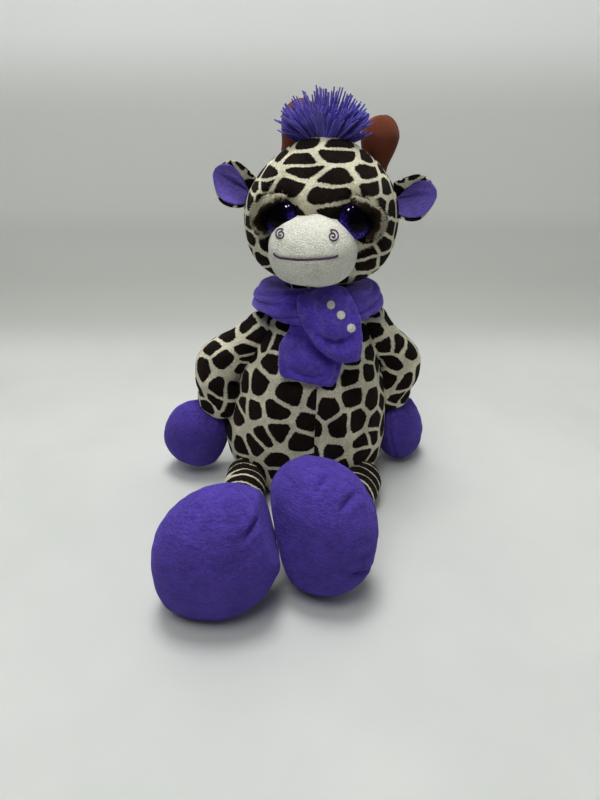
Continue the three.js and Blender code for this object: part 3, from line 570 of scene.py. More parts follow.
def print_material(name, stretch, shift=(0.0, 0.0), width=None, loose=0.7, round_off=0.2, layer="Cloth"):
    """Patches with rounded corners between cream lines, printed on plush. It follows the cloth."""
    size, width = cloth().patch_size, width or cloth().line_width
    shade = Shade(name, 0.95, 0.02, 0.05)
    spot = shade.layer(layer)
    for source, scale, reach in ((spot, 26.0, 0.010), (shade.place, RAGGED, 0.0026)):
        values = {0: shade.noise(source, scale, 2.0, output="Color"), 1: (reach, reach, 0), 2: spot}
        spot = shade.node("VectorMath", values, operation="MULTIPLY_ADD").outputs[0]
    spread = shade.node(
        "Mapping",
        {"Vector": spot, "Scale": (*[1 / (size * s) for s in stretch], 1), "Location": (*shift, 0)},
    )
    values = {"Vector": spread.outputs[0], "Scale": 1.0, "Randomness": loose}
    edge, middle = [
        shade.node("TexVoronoi", values, voronoi_dimensions="2D", feature=feature).outputs["Distance"]
        for feature in ("DISTANCE_TO_EDGE", "F1")
    ]
    edge = shade.maths("SUBTRACT", edge, shade.ramp(middle, 0.42, 0.72, 0.0, round_off))
    half = width / size / 2
    inside = shade.ramp(edge, half - 0.02, half + 0.045)
    fine = shade.grain(*PLUSH_GRAIN)
    dark = shade.nap(tint("patch_dark"), fine, 0.5)
    return shade.done(shade.mix(inside, shade.nap(tint("patch_cream"), fine, 0.2), dark))


def brow_material(name, layer):
    """The fold over an eye: black beside the eye as painted shade under the fold, then brown, cream along
    its ridge, with broken dark patches behind. The cloth layer runs from the ridge towards the eye."""
    shade = Shade(name, 0.95, 0.02, 0.05)
    across = shade.split(shade.layer(layer))["X"]
    broad = shade.noise(shade.place, 70.0, 1.0)
    for factor, reach in ((broad, 0.013), (shade.noise(shade.place, RAGGED, 2.0), 0.004)):
        across = shade.maths("ADD", across, shade.maths("MULTIPLY", factor, reach))
    behind = shade.maths("MULTIPLY", shade.ramp(across, 0.0052, 0.0038), shade.ramp(broad, 0.42, 0.47))
    inside = shade.maths("MAXIMUM", shade.ramp(across, 0.0064, 0.0086), behind)
    # Black beside the eye is painted shade of the fold; black behind the ridge is the dark of the print
    black = shade.maths("MAXIMUM", shade.ramp(across, 0.009, 0.0135), shade.ramp(across, 0.006, 0.004))
    fine = shade.grain(*PLUSH_GRAIN)
    dark = shade.nap(shade.mix(black, srgb(60, 42, 29), srgb(12, 9, 9)), fine, 0.3)
    return shade.done(shade.mix(inside, shade.nap(tint("patch_cream"), fine, 0.13), dark))


def plain_material(name, colour, roughness, sheen, specular, grain, amount):
    """Suede, yarn or plastic: one colour with a grain, given as its scale, strength and depth."""
    shade = Shade(name, roughness, sheen, specular)
    return shade.done(shade.nap(tint(colour), shade.grain(*grain), amount))


def sparkle_material(name, colour):
    """Fine knit with a sandy grain and a few bright specks."""
    shade = Shade(name, 0.85, 0.1, 0.2)
    fine = shade.grain(850.0, 1.0, 0.0024)
    base = shade.shaded(shade.nap(tint(colour), fine, 0.06), fine, 0.86, 1.1)
    bright = shade.ramp(shade.specks(1500.0), 0.93, 0.98, 0.0, 0.6)
    return shade.done(shade.mix(bright, base, srgb(242, 242, 230)))


def eye_material(name):
    """A black pupil, a purple sparkling ring below it that is painted darker towards the top as painted
    shade of the brow, and a dark rim under a clear dome. The cloth layer holds the distance from the
    middle and the height."""
    shade = Shade(name, 0.5, 0.0, 0.0, Coat_Weight=0.14, Coat_Roughness=0.02)
    spot = shade.split(shade.layer("Cloth"))
    glitter = shade.mix(shade.ramp(shade.specks(1300.0), 0.3, 0.95), srgb(18, 10, 70), srgb(92, 68, 216))
    # Painted shade: the ring turns black towards its top, where the brow would shade it
    low = shade.ramp(spot["Y"], -0.009, 0.003, 1.0, 0.04)
    ring = shade.maths("MULTIPLY", shade.ramp(spot["X"], 0.0066, 0.0122), low)
    tone = shade.mix(ring, srgb(3, 3, 7), glitter)
    return shade.done(shade.mix(shade.ramp(spot["X"], 0.0132, 0.0138), tone, srgb(8, 6, 14)))


# The head's print: stretch, shift, line width, looseness and rounding
HEAD_PRINT = ((1.36, 0.66), (0.62, 0.35), 0.0034, 0.55, 0.12)
# The velour's grain scale, nap, sheen, ripple and paleness
VELOUR, LINING = (1200.0, 0.24, 0.6, 0.0009, 0.35), (1200.0, 0.18, 0.5, 0.0005, 0.2)
# Sheen, specular, grain and nap of the plain finishes
YARN = (0.3, 0.3, (1500.0, 0.4, 0.0004), 0.22)
SUEDE = (0.08, 0.12, (1400.0, 0.35, 0.0006), 0.14)
PLASTIC = (0.0, 0.4, (300.0, 0.1, 0.0003), 0.04)
# Each finish: its slot, the function that makes it, and what that takes after the name
FINISHES = {
    "body print": ("patch_print", print_material, (1.0, 0.9)),
    "head print": ("patch_print", print_material, *HEAD_PRINT),
    "head pile": ("patch_print", print_material, *HEAD_PRINT, "root_cloth"),
    "limb print": ("patch_print", print_material, (0.92, 0.88), (3.1, 1.7)),
    "ear print": ("patch_print", print_material, (0.75, 0.75), (7.3, 2.9)),
    "leg rings": ("patch_print", print_material, (3.2, 0.4), (2.2, 0.4), 0.0012),
    "brow print": ("patch_print", brow_material, "Cloth"),
    "brow pile": ("patch_print", brow_material, "root_cloth"),
    "purple plush": ("purple_plush", plush_material, "purple"),
    "scarf velour": ("purple_plush", plush_material, srgb(86, 64, 182), *VELOUR, 0.24),
    "ear lining": ("purple_plush", plush_material, srgb(98, 82, 168), *LINING),
    "fringe yarn": ("fringe", plain_material, "fringe", 0.75, *YARN),
    "dark thread": ("purple_plush", plain_material, srgb(66, 32, 74), 0.6, *YARN),
    "cream thread": ("cream_plush", plain_material, srgb(226, 222, 206), 0.5, *YARN),
    "muzzle cloth": ("cream_plush", sparkle_material, "muzzle"),
    "horn suede": ("brown_suede", plain_material, "suede", 0.9, *SUEDE),
    "eye dome": ("eye_gloss", eye_material),
    "washer plastic": (None, plain_material, srgb(205, 205, 200), 0.5, *PLASTIC),
}
MATERIALS = {}


def material(name):
    """The material of a finish, made when it is first asked for."""
    if name not in MATERIALS:
        _, maker, *values = FINISHES[name]
        MATERIALS[name] = maker(name, *values)
    return MATERIALS[name]


# Geometry Nodes


def geometry_tree(name, *inputs):
    """A tree with named inputs after its geometry. Gives the tree, the sockets that bring what is
    given, and the identifiers by which the inputs are set."""
    tree = bpy.data.node_groups.new(name, "GeometryNodeTree")
    face = tree.interface
    face.new_socket("Geometry", in_out="INPUT", socket_type="NodeSocketGeometry")
    names = {
        key: face.new_socket(key.title(), in_out="INPUT", socket_type=f"NodeSocket{kind}").identifier
        for key, kind in inputs
    }
    face.new_socket("Geometry", in_out="OUTPUT", socket_type="NodeSocketGeometry")
    return tree, tree.nodes.new("NodeGroupInput").outputs, names


def product(tree, one, two):
    return node(tree, "ShaderNodeMath", {0: one, 1: two}, operation="MULTIPLY").outputs[0]


def finish_tree(tree, geometry, finish):
    """Sends the geometry out as real mesh with its material."""
    real = node(tree, "GeometryNodeRealizeInstances", {0: geometry})
    painted = node(tree, "GeometryNodeSetMaterial", {0: real.outputs[0], "Material": finish})
    node(tree, "NodeGroupOutput", {0: painted.outputs[0]})


def yarn_tree():
    """Turns lines into yarn: thickness and sides are inputs, and the lines hold their taper."""
    inputs = (("thickness", "Float"), ("sides", "Int"), ("finish", "Material"))
    tree, given, names = geometry_tree("Yarn along lines", *inputs)
    girth = node(tree, "GeometryNodeInputNamedAttribute", {"Name": "girth"}, data_type="FLOAT")
    line, thickness, sides, finish, *_ = given
    size = product(tree, product(tree, thickness, 0.5), girth.outputs[0])
    curve = node(tree, "GeometryNodeMeshToCurve", {0: line})
    sized = node(tree, "GeometryNodeSetCurveRadius", {0: curve.outputs[0], "Radius": size})
    circle = node(tree, "GeometryNodeCurvePrimitiveCircle", {"Resolution": sides, "Radius": 1.0})
    mesh = node(
        tree,
        "GeometryNodeCurveToMesh",
        {0: sized.outputs[0], 1: circle.outputs[0], "Scale": size, "Fill Caps": True},
    )
    finish_tree(tree, mesh.outputs[0], finish)
    return tree, names


def pile_tree():
    """Stands short fibres on a surface, each a thin cone that leans."""
    tree, given, names = geometry_tree(
        "Pile on cloth",
        ("length", "Float"),
        ("girth", "Float"),
        ("density", "Float"),
        ("lean", "Vector"),
        ("seed", "Int"),
        ("finish", "Material"),
    )
    cloth_mesh, length, girth, density, lean, seed, finish, *_ = given
    named = "GeometryNodeInputNamedAttribute"
    thick = node(tree, named, {"Name": "pile"}, data_type="FLOAT").outputs[0]
    spread = node(
        tree,
        "GeometryNodeDistributePointsOnFaces",
        {"Mesh": cloth_mesh, "Density": product(tree, density, thick), "Seed": seed},
    )
    jitter = node(
        tree, "FunctionNodeRandomValue", {0: (-0.35,) * 3, 1: (0.35,) * 3}, data_type="FLOAT_VECTOR"
    ).outputs[0]
    aim = spread.outputs["Normal"]
    for more in (lean, jitter):
        aim = node(tree, "ShaderNodeVectorMath", {0: aim, 1: more}, operation="ADD").outputs[0]
    turn = node(tree, "FunctionNodeAlignRotationToVector", {"Vector": aim}, axis="Z")
    size = node(tree, "ShaderNodeCombineXYZ", {0: girth, 1: girth, 2: length})
    where = node(tree, named, {"Name": "Cloth"}, data_type="FLOAT_VECTOR").outputs[0]
    roots = node(
        tree,
        "GeometryNodeStoreNamedAttribute",
        {0: spread.outputs["Points"], "Name": "root_cloth", "Value": where},
        data_type="FLOAT_VECTOR",
        domain="POINT",
    )
    cone = node(
        tree,
        "GeometryNodeMeshCone",
        {"Vertices": 3, "Radius Top": 0.15, "Radius Bottom": 1.0, "Depth": 1.0},
    )
    stood = {"Rotation": turn.outputs[0], "Scale": size.outputs[0], "Instance": cone.outputs["Mesh"]}
    put = node(tree, "GeometryNodeInstanceOnPoints", {"Points": roots.outputs[0], **stood})
    finish_tree(tree, put.outputs[0], finish)
    return tree, names


TREES = {}


def grown(name, thing, maker, **values):
    """The plain mesh that a node tree makes of an object, as a new object. The first one goes."""
    if maker not in TREES:
        TREES[maker] = maker()
    tree, names = TREES[maker]
    step = thing.modifiers.new(tree.name, "NODES")
    step.node_group = tree
    for key, value in values.items():
        step[names[key]] = value
    view = bpy.context.evaluated_depsgraph_get()
    view.update()
    mesh = bpy.data.meshes.new_from_object(thing.evaluated_get(view))
    bpy.data.objects.remove(thing)
    mesh.name = name
    return added(name, mesh)


def yarn(name, lines, thickness, finish, taper=None, sides=6):
    """Yarn or thread along lines of points in millimetres. taper is a thickness for each point of a
    line, as a share."""
    points, edges, girth = [], [], []
    for line in lines:
        base = len(points)
        points.extend((np.asarray(line) * MM).tolist())
        edges.extend((base + k, base + k + 1) for k in range(len(line) - 1))
        girth.extend(taper or [1.0] * len(line))
    mesh = bpy.data.meshes.new(name)
    mesh.from_pydata(points, edges, [])
    mesh.attributes.new("girth", "FLOAT", "POINT").data.foreach_set("value", girth)
    thing = added(name, mesh)
    return grown(name, thing, yarn_tree, thickness=thickness, sides=sides, finish=material(finish))


def weighted(thing, values):
    """How thick the pile stands at each point, from 0 to 1."""
    made = thing.data.attributes.new("pile", "FLOAT", "POINT")
    made.data.foreach_set("value", np.asarray(values, np.float32).ravel())
    return thing


# The camera, and places that are found by looking through it

CAMERA_PLACE, CAMERA_DOWN, CAMERA_FOCUS = (-7, -525, 357), 28, 620
PICTURE_WIDTH, PICTURE_HEIGHT, CAMERA_SENSOR = 600, 800, 36


def view_ray(u, v):
    """The direction in which a place in the picture is seen."""
    a = math.radians(CAMERA_DOWN)
    ahead = Vector((0, math.cos(a), -math.sin(a)))
    up = Vector((0, math.sin(a), math.cos(a)))
    right = Vector((1, 0, 0)) * (u - PICTURE_WIDTH / 2)
    return (ahead * CAMERA_FOCUS + right + up * (PICTURE_HEIGHT / 2 - v)).normalized()


def surface_of(thing):
    mesh = thing.data
    return BVHTree.FromPolygons([v.co for v in mesh.vertices], [p.vertices for p in mesh.polygons])


def seen_on(tree, spots, lift):
    """Points in millimetres on a surface where places in the picture are seen, a little proud.
    Places beside the surface are left out."""
    eye = Vector(CAMERA_PLACE) * MM
    hits = [tree.ray_cast(eye, view_ray(u, v)) for u, v in spots]
    found = [(hit + normal * lift * MM) / MM for hit, normal, _, _ in hits if hit is not None]
    if len(found) < 2:
        raise RuntimeError(f"nothing is seen at {spots[0]}")
    return np.array(found)


def spaced(points, step):
    """The same line with even spacing."""
    points = np.asarray(points, float)
    run = np.concatenate(([0], np.cumsum(np.linalg.norm(np.diff(points, axis=0), axis=1))))
    at = np.linspace(0, run[-1], max(2, int(run[-1] / step) + 1))
    return np.stack([np.interp(at, run, points[:, i]) for i in range(points.shape[1])], 1)


def surface_of_rings(rings):
    count, sides = rings.shape[:2]
    at = np.arange(count * sides).reshape(count, sides)
    side = np.roll(at, -1, 1)
    quads = np.stack((at[:-1], side[:-1], side[1:], at[1:]), -1).reshape(-1, 4)
    return BVHTree.FromPolygons((rings.reshape(-1, 3) * MM).tolist(), quads.tolist())


def folded(rings, folds):
    """Draws folds into stacked rings: each is (places in the picture, depth, width). A fold fades
    towards its ends and stands up along both its sides. A negative depth makes a ridge."""
    tree = surface_of_rings(rings)
    flat = rings.reshape(-1, 3)
    push = np.zeros(len(flat))
    for spots, depth, width in folds:
        line = seen_on(tree, spaced(spots, 1.5), 0)
        far = np.full(len(flat), 1e9)
        share = np.zeros(len(flat))
        for i, point in enumerate(line):
            away = np.linalg.norm(flat - point, axis=1)
            near = away < far
            far[near] = away[near]
            share[near] = i / (len(line) - 1)
        fade = np.sin(math.pi * np.clip(share, 0.04, 0.96)) ** 0.6
        push -= depth * fade * (bump(far, width) - 0.45 * bump(far - 2.3 * width, 1.5 * width))
    return pushed(rings, push.reshape(rings.shape[:2]))


def pressed(rings, other, soft):
    """Keeps the points of a piece out of another one that it leans against, rounded by a width."""
    flat = rings.reshape(-1, 3).copy()
    for i, point in enumerate(flat):
        spot, normal, _, _ = other.find_nearest(Vector(point) * MM)
        room = (Vector(point) - spot / MM).dot(normal) - PRESS_GAP
        if room < 4 * soft:
            flat[i] += np.array(normal) * ((room + math.hypot(room, soft)) / 2 - room)
    return flat.reshape(rings.shape)


def piled(name, thing, amounts, finish, body, density, length, lean, seed):
    """Short fibres on a piece of cloth, as a piece of their own, where the amounts are above 0."""
    values = {"length": length, "girth": FIBRE_GIRTH, "density": density, "lean": lean, "seed": seed}
    copy = weighted(added(name, thing.data.copy()), amounts)
    made = grown(name, copy, pile_tree, finish=material(finish), **values)
    return dress(made, finish, body)


# Operators: one for each piece or group of like pieces


class PieceOperator:
    bl_options = {"REGISTER", "UNDO"}

    def execute(self, context):
        self.make()
        return {"FINISHED"}


class GIRAFFE_OT_stage(PieceOperator, bpy.types.Operator):
    """Pale sweep, soft lamps and the camera"""

    bl_idname = "giraffe.stage"
    bl_label = "Stage"

    def make(self):
        scene = bpy.context.scene
        scene.view_settings.view_transform = "Standard"
        data = bpy.data.cameras.new("camera")
        data.sensor_width = CAMERA_SENSOR
        data.lens = CAMERA_FOCUS / PICTURE_HEIGHT * CAMERA_SENSOR
        data.clip_start, data.clip_end = 0.01, 20
        scene.camera = added("camera", data)
        scene.camera.location = Vector(CAMERA_PLACE) * MM
        scene.camera.rotation_euler = (math.radians(90 - CAMERA_DOWN), 0, 0)
        self.sweep()
        self.lamp("key", (-0.08, 0.1, 1.7), 0.6, 16.5)
        self.lamp("front", (-0.25, -0.75, 1.6), 0.9, 10.5)
        self.lamp("fill", (1.1, -0.7, 1.0), 1.1, 1.0)
        self.lamp("window", (-0.15, -0.66, 1.28), 0.2, 24, True)
        self.lamp("far window", (0.25, -0.45, 1.36), 0.1, 6, True)
        world = bpy.data.worlds.new("room light")
        world.use_nodes = True
        tree = world.node_tree
        light = tree.nodes["Background"]
        light.inputs[0].default_value = (*srgb(226, 229, 232), 1)
        light.inputs[1].default_value = 0.1
        seen = node(tree, "ShaderNodeBackground", {0: (*srgb(200, 202, 198), 1), 1: 1.0})
        path = node(tree, "ShaderNodeLightPath").outputs["Is Camera Ray"]
        both = node(tree, "ShaderNodeMixShader", {0: path, 1: light.outputs[0], 2: seen.outputs[0]})
        tree.links.new(both.outputs[0], tree.nodes["World Output"].inputs[0])
        scene.world = world

    def lamp(self, name, place, size, power, glints=False):
        """A round lamp. The ones for glints show in the eyes alone and light nothing."""
        data = bpy.data.lights.new(name, "AREA")
        data.shape, data.size, data.energy = "DISK", size, power
        thing = added(name, data)
        thing.location = place
        aim = Vector((0, -0.03, 0.15)) - Vector(place)
        thing.rotation_euler = aim.to_track_quat("-Z", "Y").to_euler()
        thing.visible_glossy = glints
        thing.visible_diffuse = not glints

    def sweep(self):
        """Pale card: a flat sheet under the toy, and one that curves up behind it and is seen from
        its front alone, so that the toy can be looked at from behind. Its tone is painted darker at the
        bend and lighter towards the top, as painted shade and painted light."""
        a = np.linspace(0, math.pi / 2, 24)
        bend, back = 0.16, 0.2
        rows = [(-3.0, -0.0002), (3.0, -0.0002), (back, 0.0)]
        rows += [(back + bend * math.sin(t), bend * (1 - math.cos(t))) for t in a[1:]]
        rows += [(back + bend, 3.0)]
        points = [(x, y, z) for y, z in rows for x in (-3.0, 3.0)]
        faces = [(2 * i, 2 * i + 1, 2 * i + 3, 2 * i + 2) for i in range(len(rows) - 1) if i != 1]
        mesh = bpy.data.meshes.new("backdrop")
        mesh.from_pydata(points, [], faces)
        shade = Shade("pale card", 0.9, 0.0, 0.2)
        cloudy = shade.ramp(shade.noise(shade.place, 6.0), 0.3, 0.7)
        tone = shade.mix(cloudy, srgb(200, 203, 199), srgb(206, 208, 204))
        height = shade.split(shade.place)["Z"]
        # Painted shade and painted light: darker at the bend behind the toy, lighter higher up
        for low, high, upper in (
            (0.004, 0.05, srgb(186, 188, 182)),
            (0.08, 0.2, srgb(220, 221, 216)),
            (0.3, 0.42, srgb(252, 253, 251)),
        ):
            tone = shade.mix(shade.ramp(height, low, high), tone, upper)
        mesh.materials.append(shade.done(tone))
        side, clear = shade.node("NewGeometry"), shade.node("BsdfTransparent")
        sides = {0: side.outputs["Backfacing"], 1: shade.shader.outputs[0], 2: clear.outputs[0]}
        shown = shade.node("MixShader", sides).outputs[0]
        shade.tree.links.new(shown, shade.tree.nodes["Material Output"].inputs[0])
        thing = added("backdrop", mesh)


class GIRAFFE_OT_torso(PieceOperator, bpy.types.Operator):
    """Stuffed torso with its centre and side seams, and the neck inside the scarf"""

    bl_idname = "giraffe.torso"
    bl_label = "Torso and neck"

    def make(self):
        rows, sides = torso_rows(130), 200
        rings = level_rings(torso_centre(rows[:, 2]), rows[:, 0], rows[:, 1], sides)
        a = ring_angles(sides)[None, :]
        z = rings[:, :, 2]
        push = 1.1 * waves(rings, 38, 3) * bump(z - 85, 85) + 0.35 * waves(rings, 11, 4)
        arc = np.abs(np.remainder(a + math.pi / 4, math.pi / 2) - math.pi / 4) * rows[:, :1]
        push -= 1.5 * bump(arc, 1.6) * np.where(z < 160, 1, 0)
        push += 0.5 * bump(arc - 5, 3.5)
        push -= 0.9 * np.maximum(0, np.sin(a * 17 + 2)) * bump(z - 168, 14)
        push += 5.5 * bump(z - 50, 26) * bump(a - 1.5 * math.pi, 0.5)
        rings = pushed(rings, push)
        # The seat stays flat
        seat = z < SEAT_EDGE
        rings[:, :, 2][seat] = np.minimum(rings[:, :, 2][seat], SEAT_EDGE)
        ends = ((0, 0, 0), on_torso(0, 0, TORSO_HEIGHT))
        body = skin("torso_cloth", moved(above(rings, 0), TORSO_FRAME), ends, QUARTERS)
        dress(body, "body print", "torso", "torso", fill=0.8)
        self.neck()

    def neck(self):
        waist = -math.acos(NECK_WAIST / NECK_BALL)
        arc = np.linspace(waist, math.pi / 2, 30)[:-1]
        rows = [(NECK_WAIST - 4, 0.4 - NECK_HEIGHT), (NECK_WAIST, 2 - NECK_HEIGHT)]
        rows += [(NECK_BALL * math.cos(t), NECK_BALL * math.sin(t)) for t in arc]
        rows = np.array(rows)
        rings = level_rings(upright(rows[:, 1]) + NECK_PIVOT, rows[:, 0], rows[:, 0], 64)
        ends = (NECK_PIVOT + (0, 0, 0.4 - NECK_HEIGHT), NECK_PIVOT + (0, 0, NECK_BALL))
        neck = skin("neck_cloth", rings, ends, FRONT_BACK)
        dress(neck, "limb print", "neck", "neck", fill=0.7)


class GIRAFFE_OT_head(PieceOperator, bpy.types.Operator):
    """Stuffed head with drawn-in eye sockets"""

    bl_idname = "giraffe.head"
    bl_label = "Head"

    def make(self):
        t = np.linspace(0, math.pi, 150)[1:-1]
        radius, z = np.sin(t), np.cos(t)
        wide, deep, tall = HEAD_HALF
        rings = level_rings(HEAD_CENTRE + upright(tall * z), wide * radius, deep * radius, 220)
        push = 0.6 * waves(rings, 45, 11) + 0.2 * waves(rings, 12, 12)
        crown = on_crown(4, -TUFT_FORWARD)
        push += 4.2 * bump(np.linalg.norm((rings - crown) * (1, 0.8, 1), axis=2), 24)
        temple = HEAD_CENTRE + HEAD_HALF * (-0.74, -0.1, 0.66)
        push -= 2.6 * bump(away_from(temple, rings), 26)
        pile = np.zeros(rings.shape[:2])
        for _, side in SIDES:
            eye = on_head(side * EYE_OUT, EYE_UP)
            far = away_from(eye, rings)
            push -= 2.2 * bump(far, 11)
            push += 3.4 * bump(far - 20.5, 5.5)
            pile = np.maximum(pile, bump(far - 22, 7) * (far > 15))
            cheek = on_head(side * 47, -30)
            push += 3.6 * bump(away_from(cheek, rings), 22)
        middle = on_head(0, 12)
        push -= 1.2 * bump(away_from(middle, rings), 7)
        ends = (HEAD_CENTRE + (0, 0, tall), HEAD_CENTRE - (0, 0, tall))
        rings = moved(pushed(rings, push), HEAD_FRAME)
        head = skin("head_cloth", rings, moved(ends, HEAD_FRAME), FRONT_BACK)
        self.spread_print(head)
        amounts = np.concatenate((pile.ravel(), (0, 0)))
        lean = (0, -0.2, -0.5)
        piled("eye_socket_pile", head, amounts, "head pile", "head", 1.1e6, 0.0019, lean, 12)
        dress(head, "head print", "head", "head", fill=0.9)

    def spread_print(self, head):
        """Makes the print wide over the forehead and smaller round the cheeks."""
        layer = head.data.uv_layers["Cloth"].data
        spots = np.zeros(2 * len(layer), np.float32)
        layer.foreach_get("uv", spots)
        spots = spots.reshape(-1, 2)
        front = np.abs(spots[:, 0]) < 0.11
        u = spots[front, 0]
        spots[front, 0] = u + 38 * u**3
        layer.foreach_set("uv", spots.ravel())


def muzzle_rings(sides=180, steps=120):
    """The muzzle as a rounded trapezoid that stands out of the head."""
    t = np.linspace(0, math.pi, steps)[1:-1]
    centres = np.stack((0 * t, -np.cos(t), 0 * t), 1)
    radius, zero = np.sin(t), 0 * t
    rings = rings_round(centres, np.stack((radius, zero, zero), 1), np.stack((zero, zero, -radius), 1), sides)
    x, z = rings[:, :, 0], rings[:, :, 2]
    reach = np.hypot(x, z) + 1e-9
    square = reach / (np.abs(x) ** 2.5 + np.abs(z) ** 2.5) ** (1 / 2.5)
    up = np.maximum(z, 0)
    rings[:, :, 0] = x * square * (1 - MUZZLE_TOP_NARROWING * up * up)
    rings[:, :, 2] = z * square
    centre = on_head(MUZZLE_SHIFT, -MUZZLE_DROP) + (0, MUZZLE_SET_BACK, 0)
    return rings * MUZZLE_HALF + centre, centre


class GIRAFFE_OT_muzzle(PieceOperator, bpy.types.Operator):
    """Cream muzzle with its stitched smile and nostrils"""

    bl_idname = "giraffe.muzzle"
    bl_label = "Muzzle and stitching"

    def make(self):
        rings, centre = muzzle_rings()
        push = 0.5 * waves(rings, 24, 21) + 0.15 * waves(rings, 8, 22)
        reach = np.array((0, MUZZLE_HALF[1], 0))
        ends = moved((centre - reach, centre + reach), HEAD_FRAME)
        smile = [(274, 253.5), (275.5, 255.5), (280, 257.6), (288, 258.8), (297, 259.6)]
        smile += [(305, 259.8), (318, 259), (329, 258), (335, 256.8), (337.6, 255.4)]
        folds = [
            (smile, 0.8, 1.2),
            ([(283, 268.5), (292, 269.5), (302, 269.5), (313, 268.5)], 0.7, 1.5),
            ([(318, 268), (330, 266.5)], 0.4, 1.5),
        ]
        rings = folded(moved(pushed(rings, push), HEAD_FRAME), folds)
        muzzle = skin("muzzle_cloth", rings, ends)
        tree = surface_of(muzzle)
        lines = []
        for low in (-0.3, 0.5):
            spots = spaced([(u, v + low) for u, v in smile], 1.0)
            lines.append(spaced(seen_on(tree, spots, 0.35), 0.8))
        for u, v, size, way in ((280.8, 234.4, 5.6, 1), (332.8, 236.2, 6.4, -1)):
            a = np.linspace(0, 1.75 * 2 * math.pi, 90)
            reach = size * (0.1 + 0.9 * a / a[-1])
            spot = np.stack((u + way * reach * 0.96 * np.cos(a + 0.4), v + reach * np.sin(a + 0.4)), 1)
            tail = spot[-1] + np.array([(-way * 0.8, 1.4), (-way * 1.4, 2.8)])
            lines.append(spaced(seen_on(tree, np.concatenate((spot, tail)), 0.3), 0.6))
        stitch = yarn("muzzle_stitching", lines, trim().thread_thickness, "dark thread", sides=8)
        dress(stitch, "dark thread", "head")
        dress(muzzle, "muzzle cloth", "head", "muzzle", fill=0.9)


class GIRAFFE_OT_eyes(PieceOperator, bpy.types.Operator):
    """Glossy domes on their shanks, and the washers behind the cloth"""

    bl_idname = "giraffe.eyes"
    bl_label = "Eyes"

    def make(self):
        for name, side in SIDES:
            a = np.linspace(0, math.pi / 2, 26)[:-1]
            rows = [(SHANK_RADIUS, -SHANK_LENGTH), (SHANK_RADIUS, -1.9), (12.4, -1.8), (13.6, -1.2)]
            rows += [(EYE_RADIUS * math.cos(t), EYE_DOME * math.sin(t)) for t in a]
            rows = np.array(rows)
            turn = eye_frame(side)
            rings = moved(level_rings(upright(rows[:, 1]), rows[:, 0], rows[:, 0], 96), turn)
            ends = moved(((0, 0, -SHANK_LENGTH), (0, 0, EYE_DOME)), turn)
            eye = skin(f"{name}_eye_dome", rings, ends)
            local = moved(np.array([v.co for v in eye.data.vertices]) / MM, turn.inverted())
            index = np.zeros(len(eye.data.loops), np.int32)
            eye.data.loops.foreach_get("vertex_index", index)
            spots = np.stack((np.hypot(local[:, 0], local[:, 1]), local[:, 1]), 1)[index] * MM
            eye.data.uv_layers["Cloth"].data.foreach_set("uv", spots.astype(np.float32).ravel())
            dress(eye, "eye dome", "head", f"{name}_eye")
            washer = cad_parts[f"{name}_eye_washer"]
            washer.data.materials.clear()
            washer.data.materials.append(material("washer plastic"))


class GIRAFFE_OT_lids(PieceOperator, bpy.types.Operator):
    """Soft folds of printed plush round the upper and outer side of each eye"""

    bl_idname = "giraffe.lids"
    bl_label = "Brows"

    def make(self):
        for name, side in SIDES:
            turn = eye_frame(side)
            t = np.linspace(0, 1, 90)
            inner = np.interp(t, (0, 0.22, 0.45, 0.7, 1), (13.5, 8.2, 8.4, 12.2, 15))
            a = np.radians(np.interp(t, (0, 1), (48, 212)))
            if side > 0:
                a = math.pi - a
            fat = np.sin(math.pi * np.clip(t, 0.015, 0.985)) ** 0.5
            radius = inner + BROW_HALF_WIDTH * fat
            centres = np.stack((radius * np.cos(a), radius * np.sin(a), 1.5 + 4.6 * fat), 1)
            out = np.stack((np.cos(a), np.sin(a), 0 * a), 1)
            rise = np.stack((0 * a, 0 * a, 1 + 0 * a), 1) - 0.25 * out
            wide, high = out * (BROW_HALF_WIDTH * fat)[:, None], rise * (BROW_HALF_HEIGHT * fat)[:, None]
            rings = rings_round(centres, wide, high, 44)
            rings = moved(pushed(rings, 0.5 * waves(rings, 7, 31)), turn)
            ridge = ((math.pi, math.pi, 0, 0),)
            lid = skin(f"{name}_brow", rings, moved((centres[0], centres[-1]), turn), ridge)
            amounts = np.ones(len(lid.data.vertices))
            lean = (side * 0.35, -0.2, -0.6)
            piled(f"{name}_brow_pile", lid, amounts, "brow pile", "head", 1.6e6, 0.0026, lean, 31)
            dress(lid, "brow print", "head", f"{name}_eyelid", fill=0.5)


